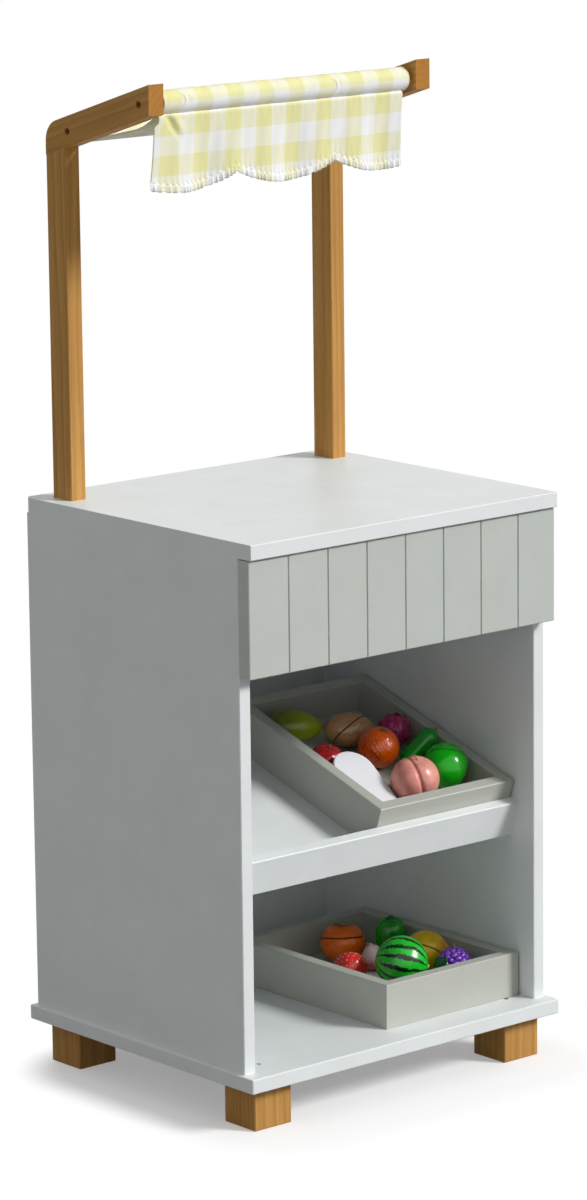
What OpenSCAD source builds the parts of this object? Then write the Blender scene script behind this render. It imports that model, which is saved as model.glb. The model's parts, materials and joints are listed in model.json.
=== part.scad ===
// Toy market stall: a counter cabinet on block feet with a sloping shelf and two loose trays of
// play food, and a post and arm frame that carries a cloth awning.
// Millimetres. +Z is up, the front faces -Y, and the origin is on the floor under the middle.

/* [Cabinet] */
// Width of the counter board and over the side panels
counter_w = 500; // [470:1:600]
// Depth of the counter board, front to back
counter_d = 438; // [410:1:520]
// Thickness of the counter board
counter_t = 19; // [16:0.5:25]
// Radius of the counter's two back corners, seen from above
counter_corner_r = 10; // [4:1:25]
// Overhang of the counter behind the side panels
counter_over = 4; // [1:0.5:10]
// Height of the side panels, from the base board to the counter
panel_h = 640; // [600:5:740]
// Thickness of the side panels
panel_t = 17.5; // [15:0.5:22]
// Setback of the side panels' front edges from the counter's front edge
panel_setback = 25; // [22:1:35]
// Thickness of the back panel
back_t = 6; // [4:0.5:9]
// Width of the rebate in each side panel that the back panel lies in
rebate_w = 9; // [7:0.5:11]
// Thickness of the base board
base_t = 18.5; // [15:0.5:25]
// How far the base board stands out past the side panels and the back
base_reveal = 5.5; // [2:0.5:12]
// Setback of the base board's front edge from the counter's front edge
base_setback = 3; // [0.5:0.5:10]
// Chamfer on the edges of boards, posts and feet
edge_c = 1; // [0.5:0.1:1.5]

/* [Feet] */
// Side of a square foot block
foot_w = 58; // [45:1:75]
// Height of a foot block
foot_h = 55; // [40:1:80]
// Inset of the feet from the edges of the base board
foot_inset = 19; // [8:1:35]

/* [Plank fascia] */
// Height of the fascia under the counter
fascia_h = 144; // [110:1:180]
// Thickness of the fascia
fascia_t = 20; // [17:0.5:22]
// Shadow gap between the fascia and the counter
fascia_gap = 1.5; // [0.5:0.5:4]
// Number of planks that the grooves mark
plank_count = 8; // [4:1:12]
// Width of a groove between planks
groove_w = 2.4; // [1.5:0.1:4]
// Depth of a groove between planks
groove_depth = 2.4; // [1:0.1:4]

/* [Sloping shelf] */
// Slope of the shelf, rising to the back
shelf_tilt = 18; // [10:1:22]
// Thickness of the shelf
shelf_t = 15; // [13:0.5:20]
// Height of the shelf's surface at its front edge, above the base board
shelf_front_z = 227.5; // [205:0.5:300]
// Distance of the shelf's front edge behind the counter's front edge
shelf_front_y = 76; // [60:1:90]
// Thickness of the lip board along the shelf's front edge
lip_t = 15; // [13:0.5:20]
// Height of the lip above the shelf's surface
lip_stand = 33; // [15:1:45]

/* [Canopy frame] */
// Width of the posts and arms, side to side
post_w = 23; // [20:0.5:32]
// Depth of the posts, front to back
post_d = 37; // [34:1:48]
// Distance of the posts' outer faces in from the counter's ends
post_inset = 23.5; // [16:0.5:45]
// Distance of the posts' back faces in front of the counter's back edge
post_back = 28; // [20:1:50]
// Height of the arms' front tips above the counter
arm_tip_h = 528.5; // [440:1:600]
// Distance of the arms' front ends behind the counter's front edge
arm_front = 207; // [150:1:250]
// Slope of the arms, rising to the front
arm_tilt = 17; // [8:1:22]
// Depth of the arms, square to their slope
arm_h = 36; // [35:1:50]
// Radius of the arms' rounded back corner
arm_corner_r = 28; // [10:1:32]
// Diameter of the two canopy rods
rod_d = 26; // [18:1:28]
// Distance of the front rod's axis behind the arms' front ends
front_rod_back = 20; // [18:1:30]
// Distance of the rear rod's axis behind the arms' front ends
rear_rod_back = 160; // [120:1:170]

/* [Awning cloth] */
// Thickness of the awning cloth
cloth_t = 1.2; // [0.8:0.1:2]
// Thickness of a rod sleeve's doubled cloth
sleeve_t = 2; // [1.5:0.1:3]
// Ease between a rod and its sleeve, and between sewn cloths
cloth_ease = 0.4; // [0.3:0.05:0.8]
// Distance of the sleeves' ends from the arms
sleeve_end = 6; // [2:0.5:20]
// Distance of the valance's right edge from the right arm
valance_right = 13; // [2:0.5:30]
// Distance of the valance's left edge from the left arm
valance_left = 1; // [1:0.5:20]
// Drop of the valance at its highest points, above the frill
valance_drop = 67; // [40:1:100]
// Depth of a scallop
scallop_d = 19; // [5:1:30]
// Width of a scallop
scallop_w = 159; // [90:1:240]
// Place of the first cusp between scallops, right of the middle
scallop_cusp = 80; // [0:1:100]
// Swing of the valance's soft folds at the hem
fold_swing = 5; // [1:0.5:8]
// Height of the gathered frill along the hem
frill_h = 9; // [5:0.5:16]
// Swing of the frill's gathers
frill_swing = 1.8; // [0.5:0.1:3]
// Sag of the roof cloth between the rods
roof_sag = 16; // [4:1:30]

/* [Trays] */
// Width of a tray
tray_w = 225; // [212:1:228]
// Depth of a tray, front to back
tray_d = 298; // [272:1:310]
// Height of a tray
tray_h = 57; // [40:1:75]
// Thickness of a tray's walls
tray_wall = 17; // [12:0.5:19]
// Thickness of a tray's floor
tray_floor_t = 6; // [4:0.5:9]
// Height of the floor's underside above the walls' lower edges
tray_floor_up = 9; // [2:0.5:14]
// Side gap between a tray and the right side panel
tray_side_gap = 3; // [1:0.5:8]
// Setback of the lower tray behind the counter's front edge
tray_setback = 51; // [30:1:70]
// Seat gap under a tray, a piece of food or a fruit's loose half
seat_gap = 0.3; // [0.2:0.05:0.5]

/* [Food in the upper tray] */
// Least gap between pieces of food
food_gap = 1.5; // [1:0.5:3]
// Diameter of the peach
peach_d = 64; // [54:1:66]
// Diameter of the green apple
apple_d = 61; // [52:1:64]
// Share of the apple's height at which it is cut
apple_cut = 0.74; // [0.6:0.01:0.8]
// Diameter of the orange
orange_d = 54; // [44:1:60]
// Thickness of the green pepper
green_pepper_d = 26; // [20:1:28]
// Length of the green pepper
green_pepper_l = 62; // [50:1:70]
// Slope at which the green pepper leans on the tray's right wall
green_pepper_lean = 45; // [30:1:55]
// Diameter of the dragon fruit
dragon_d = 46; // [38:1:52]
// Length of the kiwi
kiwi_l = 68; // [54:1:70]
// Thickness of the kiwi
kiwi_d = 46; // [38:1:52]
// Slope of the kiwi's cut
kiwi_cut_tilt = 64; // [40:1:70]
// Diameter of the tomato
tomato_d = 44; // [36:1:50]
// Length of the avocado
avocado_l = 74; // [60:1:78]
// Thickness of the avocado
avocado_d = 44; // [36:1:48]
// Width of the chopping board
board_w = 60; // [44:1:62]
// Length of the chopping board
board_l = 116; // [80:1:118]
// Thickness of the chopping board
board_t = 5; // [4:0.5:8]
// Slope at which the chopping board leans on the tomato, rising to the back
board_lean = 20; // [8:1:24]

/* [Food in the lower tray] */
// Diameter of the watermelon
watermelon_d = 68; // [56:1:70]
// Length of the strawberry
strawberry_l = 48; // [40:1:54]
// Thickness of the strawberry
strawberry_d = 42; // [34:1:46]
// Diameter of the radish
radish_d = 29; // [22:1:32]
// Height of the radish without its tip
radish_h = 34; // [28:1:50]
// Length of the lemon
lemon_l = 68; // [56:1:70]
// Thickness of the lemon
lemon_d = 54; // [44:1:56]
// Diameter of one grape
grape_d = 20; // [16:1:21]
// Diameter of the persimmon
persimmon_d = 60; // [50:1:66]
// Height of the persimmon
persimmon_h = 52; // [44:1:56]
// Width of the bell pepper
bell_pepper_w = 48; // [40:1:54]
// Height of the bell pepper without its stalk
bell_pepper_h = 56; // [48:1:74]

/* [Fittings] */
// Diameter of the wooden dowels
dowel_d = 8; // [6:0.5:10]
// Length of the wooden dowels
dowel_l = 26; // [22:1:30]
// Diameter of the fixing screws' shanks
screw_d = 5; // [4:0.5:6]
// Diameter of the fixing screws' heads
screw_head_d = 8.4; // [7:0.1:9.5]
// Height of the fixing screws' heads
screw_head_h = 3.2; // [2:0.1:4]
// Depth at which visible screw heads are sunk
screw_sink = 5; // [1:0.5:6]
// Length of the fixing screws' shanks
screw_l = 38; // [30:1:45]
// Diameter of the bolts that hold the posts
bolt_d = 6; // [5:0.5:8]
// Length of the post bolts above the counter's underside
bolt_l = 70; // [50:1:90]
// Radial gap of a dowel, screw or bolt in its hole
hole_gap = 0.1; // [0.05:0.05:0.3]

/* [Hidden] */
$fn = 64;
over = 1;
far = 400;

white_paint = [0.90, 0.91, 0.91];
grey_paint = [0.68, 0.70, 0.67];
pine = [0.80, 0.60, 0.36];
steel = [0.72, 0.72, 0.70];
beech = [0.86, 0.72, 0.50];
gingham = [0.94, 0.92, 0.72];

overall_d = counter_d + base_reveal;
front_y = -overall_d / 2;
back_y = front_y + counter_d;
panel_back = back_y - counter_over;
half_w = counter_w / 2;
post_x = half_w - post_inset - post_w / 2;
inner_w = counter_w - 2 * panel_t;
base_top = foot_h + base_t;
counter_z = base_top + panel_h;
counter_top_z = counter_z + counter_t;
panel_front = front_y + panel_setback;
panel_mid_x = half_w - panel_t / 2;

base_w = counter_w + 2 * base_reveal;
base_front = front_y + base_setback;
base_d = overall_d - base_setback;
foot_places = [
    for (sy = [0, 1], sx = [-1, 1])
        [sx * (base_w / 2 - foot_inset - foot_w / 2),
         sy == 0 ? base_front + foot_inset + foot_w / 2 : overall_d / 2 - foot_inset - foot_w / 2]
];

fascia_top = counter_z - fascia_gap;
fascia_bottom = fascia_top - fascia_h;
fascia_front = panel_front - fascia_t;

shelf_y0 = front_y + shelf_front_y;
shelf_z0 = base_top + shelf_front_z;
back_face = panel_back - back_t;
shelf_run = (back_face - shelf_y0) / cos(shelf_tilt);

// Side view of an arm: its front end and the points on its upper and lower lines
arm_y0 = front_y + arm_front;
arm_z0 = counter_top_z + arm_tip_h;
arm_rear = back_y - post_back;
post_front = arm_rear - post_d;
arm_v = arm_h / cos(arm_tilt);
function arm_top(y) = arm_z0 - (y - arm_y0) * tan(arm_tilt);
function arm_under(y) = arm_top(y) - arm_v;
function arm_axis(y) = arm_top(y) - arm_v / 2;
arm_inner = post_x - post_w / 2;
arm_outer = post_x + post_w / 2;
front_rod_y = arm_y0 + front_rod_back;
rear_rod_y = arm_y0 + rear_rod_back;
front_rod_z = arm_axis(front_rod_y);
rear_rod_z = arm_axis(rear_rod_y);

sleeve_bore = rod_d + 2 * cloth_ease;
sleeve_d = sleeve_bore + 2 * sleeve_t;
valance_x0 = -arm_inner + valance_left;
valance_x1 = arm_inner - valance_right;
valance_w = valance_x1 - valance_x0;
valance_top = front_rod_z - sleeve_d / 2 - cloth_ease;
valance_y = front_rod_y - cloth_t - cloth_ease;

tray_x1 = half_w - panel_t - tray_side_gap;
tray_x0 = tray_x1 - tray_w;
tray_in_w = tray_w - 2 * tray_wall;
tray_in_right = tray_w - tray_wall;
tray_in_back = tray_d - tray_wall;
tray_deck = tray_floor_up + tray_floor_t + seat_gap;

screw_hole = screw_d + 2 * hole_gap;
screw_well = screw_head_d + 6 * hole_gap;
dowel_hole = dowel_d + 2 * hole_gap;
dowel_end = 0.5;
bolt_hole = bolt_d + 2 * hole_gap;
bolt_head_d = 2 * bolt_d;
bolt_head_h = 0.7 * bolt_d;
back_screw_d = 3.5;
back_screw_l = 22;
back_head_d = 7;
back_head_h = 2.2;

// Dowels between boards: [middle of the dowel, turn that lays it along its axis]
dowel_share = 0.6;
dowel_in_counter = counter_t * dowel_share;
dowel_in_fascia = fascia_t * dowel_share;
dowel_in_panel = panel_t * dowel_share;
dowel_in_lip = lip_t * dowel_share;
dowel_from_edge = 70;
upright = [0, 0, 0];
along_y = [-90, 0, 0];
along_x = [0, 90, 0];
down_slope = [shelf_tilt - 90, 0, 0];
counter_dowels = [
    for (sx = [-1, 1], y = [panel_front + dowel_from_edge, panel_back - dowel_from_edge])
        [[sx * panel_mid_x, y, counter_z + dowel_in_counter - dowel_l / 2], upright]
];
fascia_dowels = [
    for (sx = [-1, 1], z = [fascia_bottom + fascia_h / 4, fascia_top - fascia_h / 4])
        [[sx * panel_mid_x, panel_front - dowel_in_fascia + dowel_l / 2, z], along_y]
];
shelf_dowels = [
    for (sx = [-1, 1], s = [dowel_from_edge, shelf_run - dowel_from_edge])
        [concat([sx * (inner_w / 2 + dowel_in_panel - dowel_l / 2)], on_slope(s, -shelf_t / 2)), along_x]
];
lip_dowels = [
    for (x = [-1, 0, 1])
        [concat([x * inner_w / 3], on_slope(dowel_l / 2 - dowel_in_lip, -shelf_t / 2)), down_slope]
];

// Point on the shelf's slope: distance up the slope and height square to it
function on_slope(s, n) = [
    shelf_y0 + s * cos(shelf_tilt) - n * sin(shelf_tilt),
    shelf_z0 + s * sin(shelf_tilt) + n * cos(shelf_tilt)
];

// Dowels in the canopy frame: two in each arm joint and one beside each post bolt
near_share = 0.7;
far_share = 0.3;
post_bolt_y = arm_rear - post_d * near_share;
post_dowel_y = arm_rear - post_d * far_share;
post_dowel_z = counter_top_z + dowel_l / 2 - dowel_in_counter;
across_arm = [-arm_tilt, 0, 0];
frame_dowels_at = concat(
    [for (sx = [-1, 1], y = [post_bolt_y, post_dowel_y]) [[sx * post_x, y, arm_under(y)], across_arm]],
    [for (sx = [-1, 1]) [[sx * post_x, post_dowel_y, post_dowel_z], upright]]
);

screw_from_edge = 55;
base_screw_y = [panel_front + screw_from_edge, (panel_front + panel_back) / 2, panel_back - screw_from_edge];
back_screw_z = [base_top + screw_from_edge, (base_top + counter_z) / 2, counter_z - screw_from_edge];

// Food in the upper tray, measured from the tray's front left corner at its floor.
// The apple, the pepper and the dragon fruit stand along the right wall, and the others left of them.
// The board stands on its front end along the left wall and leans back on the tomato.
board_front = 8;
board_side = 2;
peach_front = 13;
peach_gap = 4;
apple_front = 28;
pepper_gap = 14;
orange_gap = 18;
tomato_side = 9;
dragon_gap = 16;
kiwi_gap = 5;
kiwi_turn = -20;
avocado_side = 9;
avocado_back = 16;
avocado_turn = -20;
board_x = tray_wall + board_side;
board_y = tray_wall + board_front + board_t * sin(board_lean);
board_end = board_y + board_l * cos(board_lean);
apple_x = tray_in_right - food_gap - apple_d / 2;
apple_y = tray_wall + apple_front + apple_d / 2;
peach_x = max(apple_x - apple_d / 2 - peach_gap - peach_d / 2, board_x + board_w + food_gap + peach_d / 2);
peach_y = tray_wall + peach_front + peach_d / 2;
green_pepper_axis = green_pepper_l - green_pepper_d;
green_pepper_x = tray_in_right - seat_gap - green_pepper_d / 2;
green_pepper_y = apple_y + apple_d / 2 + pepper_gap + green_pepper_d / 2;
green_pepper_foot = green_pepper_x - green_pepper_axis * cos(green_pepper_lean);
orange_x = green_pepper_foot - green_pepper_d / 2 - food_gap - orange_d / 2;
orange_y = max(peach_y + peach_d / 2, apple_y + apple_d / 2) + orange_gap + orange_d / 2;
tomato_x = tray_wall + tomato_side + tomato_d / 2;
tomato_y = board_end + food_gap + tomato_d / 2;
dragon_x = tray_in_right - food_gap - dragon_d / 2;
dragon_y = green_pepper_y + green_pepper_d / 2 + dragon_gap + dragon_d / 2;
// Half of a turned long fruit's reach along a direction that is off degrees from its length
function turned_half(l, d, off) = sqrt(pow(l / 2 * cos(off), 2) + pow(d / 2 * sin(off), 2));
kiwi_x = dragon_x - dragon_d / 2 - food_gap - turned_half(kiwi_l, kiwi_d, kiwi_turn);
kiwi_y = orange_y + orange_d / 2 + kiwi_gap + turned_half(kiwi_l, kiwi_d, 90 - kiwi_turn);
avocado_x = tray_wall + avocado_side + turned_half(avocado_l, avocado_d, avocado_turn);
avocado_y = tray_in_back - avocado_back - turned_half(avocado_l, avocado_d, 90 - avocado_turn);

// Food in the lower tray, packed from the right wall and from the front or the back wall
grapes_side = 9;
grapes_front = 22;
watermelon_side = 8;
watermelon_front = 36;
pepper_back = 60;
persimmon_back = 23;
strawberry_in = 37;
radish_gap = 12;
lemon_turn = -45;
lemon_half = turned_half(lemon_l, lemon_d, lemon_turn);
grapes_w = 2.5 * grape_d;
grapes_x = tray_in_right - grapes_side - grapes_w / 2;
grapes_y = tray_wall + grapes_front + grapes_w / 2;
lemon_x = tray_in_right - food_gap - lemon_half;
lemon_y = grapes_y + grapes_w / 2 + food_gap + lemon_half;
bell_pepper_x = tray_in_right - food_gap - bell_pepper_w / 2;
bell_pepper_y = tray_in_back - pepper_back - bell_pepper_w / 2;
column_x = tray_in_right - max(grapes_side + grapes_w, food_gap + 2 * lemon_half);
watermelon_x = column_x - watermelon_side - watermelon_d / 2;
watermelon_y = tray_wall + watermelon_front + watermelon_d / 2;
strawberry_x = watermelon_x - strawberry_in;
strawberry_y = watermelon_y + watermelon_d / 2 + food_gap + strawberry_l / 2;
persimmon_x = bell_pepper_x - bell_pepper_w / 2 - food_gap - persimmon_d / 2;
persimmon_y = tray_in_back - persimmon_back - persimmon_d / 2;
radish_x = lemon_x - lemon_half - food_gap - radish_d / 2;
radish_y = persimmon_y - persimmon_d / 2 - radish_gap - radish_d / 2;

// Rectangle with its corners cut at 45 degrees
module chamfered_square(w, h, c) {
    polygon([[c, 0], [w - c, 0], [w, c], [w, h - c], [w - c, h], [c, h], [0, h - c], [0, c]]);
}

// Board from low to high corner with a small chamfer on all its edges
module board(low, high, c = edge_c) {
    s = high - low;
    translate(low) intersection() {
        linear_extrude(s[2]) chamfered_square(s[0], s[1], c);
        translate([0, s[1], 0]) rotate([90, 0, 0]) linear_extrude(s[1]) chamfered_square(s[0], s[2], c);
        rotate([90, 0, 90]) linear_extrude(s[0]) chamfered_square(s[1], s[2], c);
    }
}

// Side view outline, given as [y, z] points, made x0 to x1 wide
module side_profile(points, x0, x1) {
    translate([x0, 0, 0]) rotate([90, 0, 90]) linear_extrude(x1 - x0) polygon(points);
}

// Holes for the dowels in a list
module dowel_holes(list) {
    for (d = list)
        translate(d[0]) rotate(d[1]) cylinder(d = dowel_hole, h = dowel_l + 2 * dowel_end, center = true);
}

module dowels(list) {
    for (d = list)
        translate(d[0]) rotate(d[1]) cylinder(d = dowel_d, h = dowel_l, center = true);
}

// Screw with its head's top at the origin and its shank along -Z
module screw() {
    translate([0, 0, -screw_head_h]) cylinder(d = screw_head_d, h = screw_head_h);
    translate([0, 0, -screw_head_h - screw_l]) cylinder(d = screw_d, h = screw_l + over);
}

// Hole for that screw, with a well above its head
module screw_space(well) {
    translate([0, 0, -screw_head_h]) cylinder(d = screw_well, h = screw_head_h + well);
    translate([0, 0, -screw_head_h - screw_l - dowel_end]) cylinder(d = screw_hole, h = screw_l + over);
}

module at_feet() {
    for (p = foot_places) translate([p[0], p[1], base_top - screw_sink]) children();
}

module at_base_screws() {
    for (sx = [-1, 1], y = base_screw_y)
        translate([sx * panel_mid_x, y, foot_h + screw_sink]) rotate([180, 0, 0]) children();
}

module at_back_screws() {
    for (sx = [-1, 1], z = back_screw_z)
        translate([sx * (inner_w / 2 + rebate_w / 2), panel_back, z]) rotate([-90, 0, 0]) children();
}

module at_rod_screws() {
    for (sx = [-1, 1], r = [[front_rod_y, front_rod_z], [rear_rod_y, rear_rod_z]])
        translate([sx * (arm_outer - screw_sink), r[0], r[1]]) rotate([0, sx * 90, 0]) children();
}

// Cabinet boards
module base_board() {
    color(white_paint) difference() {
        board([-base_w / 2, base_front, foot_h], [base_w / 2, base_front + base_d, base_top]);
        at_feet() screw_space(screw_sink + over);
        at_base_screws() screw_space(screw_sink + over);
    }
}

// Right panel, rebated for the back panel; the left one is its mirror image
module side_panel() {
    c = edge_c;
    depth = panel_back - panel_front;
    color(white_paint) difference() {
        translate([half_w - panel_t, panel_front, base_top]) linear_extrude(panel_h)
            polygon([[c, 0], [panel_t - c, 0], [panel_t, c], [panel_t, depth], [rebate_w, depth],
                     [rebate_w, depth - back_t], [0, depth - back_t], [0, c]]);
        at_base_screws() screw_space(screw_sink + over);
        at_back_screws() back_screw_space();
        dowel_holes(concat(counter_dowels, fascia_dowels, shelf_dowels));
    }
}

module left_side_panel() mirror([1, 0, 0]) side_panel();

module right_side_panel() side_panel();

// Small pan-head screw for the back panel, its head standing on the panel's back face
module back_screw() {
    cylinder(d = back_head_d, h = back_head_h);
    translate([0, 0, -back_screw_l]) cylinder(d = back_screw_d, h = back_screw_l + over);
}

module back_screw_space() {
    translate([0, 0, -back_screw_l - dowel_end])
        cylinder(d = back_screw_d + 2 * hole_gap, h = back_screw_l + dowel_end + over);
}

module back_panel() {
    w = inner_w + 2 * rebate_w;
    color(white_paint) difference() {
        translate([-w / 2, back_face, base_top]) cube([w, back_t, panel_h]);
        at_back_screws() back_screw_space();
    }
}

module counter_top() {
    r = counter_corner_r;
    c = edge_c;
    color(white_paint) difference() {
        intersection() {
            translate([-half_w, front_y, counter_z]) union() {
                cube([counter_w, counter_d - r, counter_t]);
                translate([r, 0, 0]) cube([counter_w - 2 * r, counter_d, counter_t]);
                for (x = [r, counter_w - r])
                    translate([x, counter_d - r, 0]) cylinder(r = r, h = counter_t);
            }
            side_profile([[front_y + c, counter_z], [back_y, counter_z], [back_y, counter_top_z],
                          [front_y + c, counter_top_z], [front_y, counter_top_z - c],
                          [front_y, counter_z + c]], -half_w, half_w);
        }
        dowel_holes(concat(counter_dowels, frame_dowels_at));
        at_post_bolts() post_bolt_space();
    }
}

module plank_fascia() {
    c = edge_c;
    pitch = counter_w / plank_count;
    color(grey_paint) difference() {
        board([-half_w, fascia_front, fascia_bottom], [half_w, panel_front, fascia_top], c);
        for (i = [1 : plank_count - 1])
            translate([-half_w + i * pitch, fascia_front, fascia_bottom - over])
                linear_extrude(fascia_h + 2 * over)
                    polygon([[-groove_w / 2, -over], [groove_w / 2, -over], [groove_w / 2, 0],
                             [0, groove_depth], [-groove_w / 2, 0]]);
        dowel_holes(fascia_dowels);
    }
}

module sloping_shelf() {
    low = on_slope(0, -shelf_t);
    rise = tan(shelf_tilt);
    color(white_paint) difference() {
        side_profile([on_slope(0, 0), [back_face, shelf_z0 + (back_face - shelf_y0) * rise],
                      [back_face, low[1] + (back_face - low[0]) * rise], low], -inner_w / 2, inner_w / 2);
        dowel_holes(concat(shelf_dowels, lip_dowels));
    }
}

module shelf_lip() {
    c = edge_c;
    n0 = -shelf_t;
    n1 = lip_stand;
    color(white_paint) difference() {
        side_profile([on_slope(-lip_t + c, n0), on_slope(0, n0), on_slope(0, n1 - c), on_slope(-c, n1),
                      on_slope(-lip_t + c, n1), on_slope(-lip_t, n1 - c), on_slope(-lip_t, n0 + c)],
                     -inner_w / 2, inner_w / 2);
        dowel_holes(lip_dowels);
    }
}

module foot(i) {
    p = foot_places[i];
    color(pine) difference() {
        board([p[0] - foot_w / 2, p[1] - foot_w / 2, 0], [p[0] + foot_w / 2, p[1] + foot_w / 2, foot_h]);
        at_feet() screw_space(screw_sink + over);
    }
}

module front_left_foot() foot(0);

module front_right_foot() foot(1);

module rear_left_foot() foot(2);

module rear_right_foot() foot(3);

// Fastenings of the cabinet
module foot_screws() color(steel) at_feet() screw();

module base_screws() color(steel) at_base_screws() screw();

module back_panel_screws() color(steel) at_back_screws() back_screw();

module board_dowels() {
    color(beech) dowels(concat(counter_dowels, fascia_dowels, shelf_dowels, lip_dowels));
}

// Canopy frame
module at_post_bolts() {
    for (sx = [-1, 1]) translate([sx * post_x, post_bolt_y, counter_z]) children();
}

module post_bolt() {
    translate([0, 0, -bolt_head_h]) cylinder(d = bolt_head_d, h = bolt_head_h);
    translate([0, 0, -over]) cylinder(d = bolt_d, h = bolt_l + over);
}

module post_bolt_space() {
    translate([0, 0, -over]) cylinder(d = bolt_hole, h = bolt_l + dowel_end + over);
}

module post(sx) {
    c = edge_c;
    x0 = sx * post_x - post_w / 2;
    color(pine) difference() {
        intersection() {
            side_profile([[post_front, counter_top_z], [arm_rear, counter_top_z],
                          [arm_rear, arm_under(arm_rear)], [post_front, arm_under(post_front)]],
                         x0, x0 + post_w);
            translate([x0, post_front, counter_top_z])
                linear_extrude(arm_z0 - counter_top_z) chamfered_square(post_w, post_d, c);
        }
        dowel_holes(frame_dowels_at);
        at_post_bolts() post_bolt_space();
    }
}

module left_post() post(-1);

module right_post() post(1);

// Points of the arm's rounded back corner, from its upper line round to its vertical back
corner_steps = 10;
corner_y = arm_rear - arm_corner_r;
corner_z = arm_top(corner_y) - arm_corner_r / cos(arm_tilt);
arm_corner = [
    for (i = [0 : corner_steps])
        let (a = (90 - arm_tilt) * (1 - i / corner_steps))
            [corner_y + arm_corner_r * cos(a), corner_z + arm_corner_r * sin(a)]
];

module arm(sx) {
    x0 = sx * post_x - post_w / 2;
    color(pine) difference() {
        side_profile(concat([[arm_y0, arm_top(arm_y0)]], arm_corner,
                            [[arm_rear, arm_under(arm_rear)], [arm_y0, arm_under(arm_y0)]]),
                     x0, x0 + post_w);
        at_rod_screws() screw_space(screw_sink + over);
        dowel_holes(frame_dowels_at);
    }
}

module left_arm() arm(-1);

module right_arm() arm(1);

module post_bolts() color(steel) at_post_bolts() post_bolt();

module frame_dowels() color(beech) dowels(frame_dowels_at);

module rod(y, z) {
    color(pine) difference() {
        translate([-arm_inner, y, z]) rotate(along_x) cylinder(d = rod_d, h = 2 * arm_inner);
        at_rod_screws() screw_space(screw_sink + over);
    }
}

module front_rod() rod(front_rod_y, front_rod_z);

module rear_rod() rod(rear_rod_y, rear_rod_z);

module rod_screws() color(steel) at_rod_screws() screw();

// Awning cloth
module sleeve(y, z) {
    half = arm_inner - sleeve_end;
    color(gingham) translate([-half, y, z]) rotate(along_x) difference() {
        cylinder(d = sleeve_d, h = 2 * half);
        translate([0, 0, -over]) cylinder(d = sleeve_bore, h = 2 * half + 2 * over);
    }
}

module front_rod_sleeve() sleeve(front_rod_y, front_rod_z);

module rear_rod_sleeve() sleeve(rear_rod_y, rear_rod_z);

// Closed sheet of cloth between two grids of points, both with nu by nv cells
module cloth_sheet(front, back, nu, nv) {
    row = nu + 1;
    all = row * (nv + 1);
    function quad(a, b, c, d) = [[a, b, c], [a, c, d]];
    faces = concat(
        [for (j = [0 : nv - 1], i = [0 : nu - 1])
            let (k = j * row + i) each quad(k, k + row, k + row + 1, k + 1)],
        [for (j = [0 : nv - 1], i = [0 : nu - 1])
            let (k = all + j * row + i) each quad(k, k + 1, k + row + 1, k + row)],
        [for (i = [0 : nu - 1])
            each quad(i, i + 1, all + i + 1, all + i)],
        [for (i = [0 : nu - 1])
            let (k = nv * row + i) each quad(k + 1, k, all + k, all + k + 1)],
        [for (j = [0 : nv - 1])
            let (k = j * row) each quad(k + row, k, all + k, all + k + row)],
        [for (j = [0 : nv - 1])
            let (k = j * row + nu) each quad(k, k + row, all + k + row, all + k)]
    );
    polyhedron(points = concat(front, back), faces = faces, convexity = 6);
}

// Share of a scallop's depth at x: 0 at a cusp and 1 at the lowest point of its arc
function scallop(x) =
    let (t = (x - scallop_cusp) / scallop_w, f = t - floor(t)) 1 - pow(2 * f - 1, 2);

// Drop of the valance's hem at x, and the swing of its folds at a share v of the drop.
// A fold is [share of the swing, length along the hem, phase].
function hem_drop(x) = valance_drop + scallop_d * scallop(x);
wide_fold = [0.6, 150, 40];
narrow_fold = [0.4, 71, 10];
function wave(f, x) = f[0] * sin(360 * x / f[1] + f[2]);
function fold(x, v) = fold_swing * v * (wave(wide_fold, x) + wave(narrow_fold, x));
// The lower left corner stands out a little to the side
flare_w = 40;
flare_out = 5;
function flare(x, v) = -flare_out * v * v * pow(max(0, 1 - (x - valance_x0) / flare_w), 2);

valance_nu = 64;
valance_nv = 8;
function valance_column(k) = valance_x0 + valance_w * k / valance_nu;
function valance_point(i, j, dy) =
    let (v = j / valance_nv, x = valance_column(i))
        [x + flare(x, v), valance_y + fold(x, v) - dy, valance_top - v * hem_drop(x)];

module valance() {
    color(gingham) cloth_sheet(
        [for (j = [0 : valance_nv], i = [0 : valance_nu]) valance_point(i, j, cloth_t)],
        [for (j = [0 : valance_nv], i = [0 : valance_nu]) valance_point(i, j, 0)],
        valance_nu, valance_nv);
}

frill_waves = 50;
frill_nu = frill_waves * 6;
// The hem as the valance's sheet has it, straight from one of its columns to the next
function hem_edge(x) =
    let (s = (x - valance_x0) / valance_w * valance_nu, k = min(floor(s), valance_nu - 1))
        (k + 1 - s) * hem_drop(valance_column(k)) + (s - k) * hem_drop(valance_column(k + 1));
function frill_point(i, j, dy) =
    let (x = valance_x0 + valance_w * i / frill_nu,
         z = valance_top - hem_edge(x) - seat_gap - j * frill_h,
         swing = frill_swing * (0.4 + 0.6 * j) * sin(360 * frill_waves * i / frill_nu))
        [x + flare(x, 1), valance_y + fold(x, 1) + swing - dy, z];

module valance_frill() {
    color(gingham) cloth_sheet(
        [for (j = [0, 1], i = [0 : frill_nu]) frill_point(i, j, cloth_t)],
        [for (j = [0, 1], i = [0 : frill_nu]) frill_point(i, j, 0)],
        frill_nu, 1);
}

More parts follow.
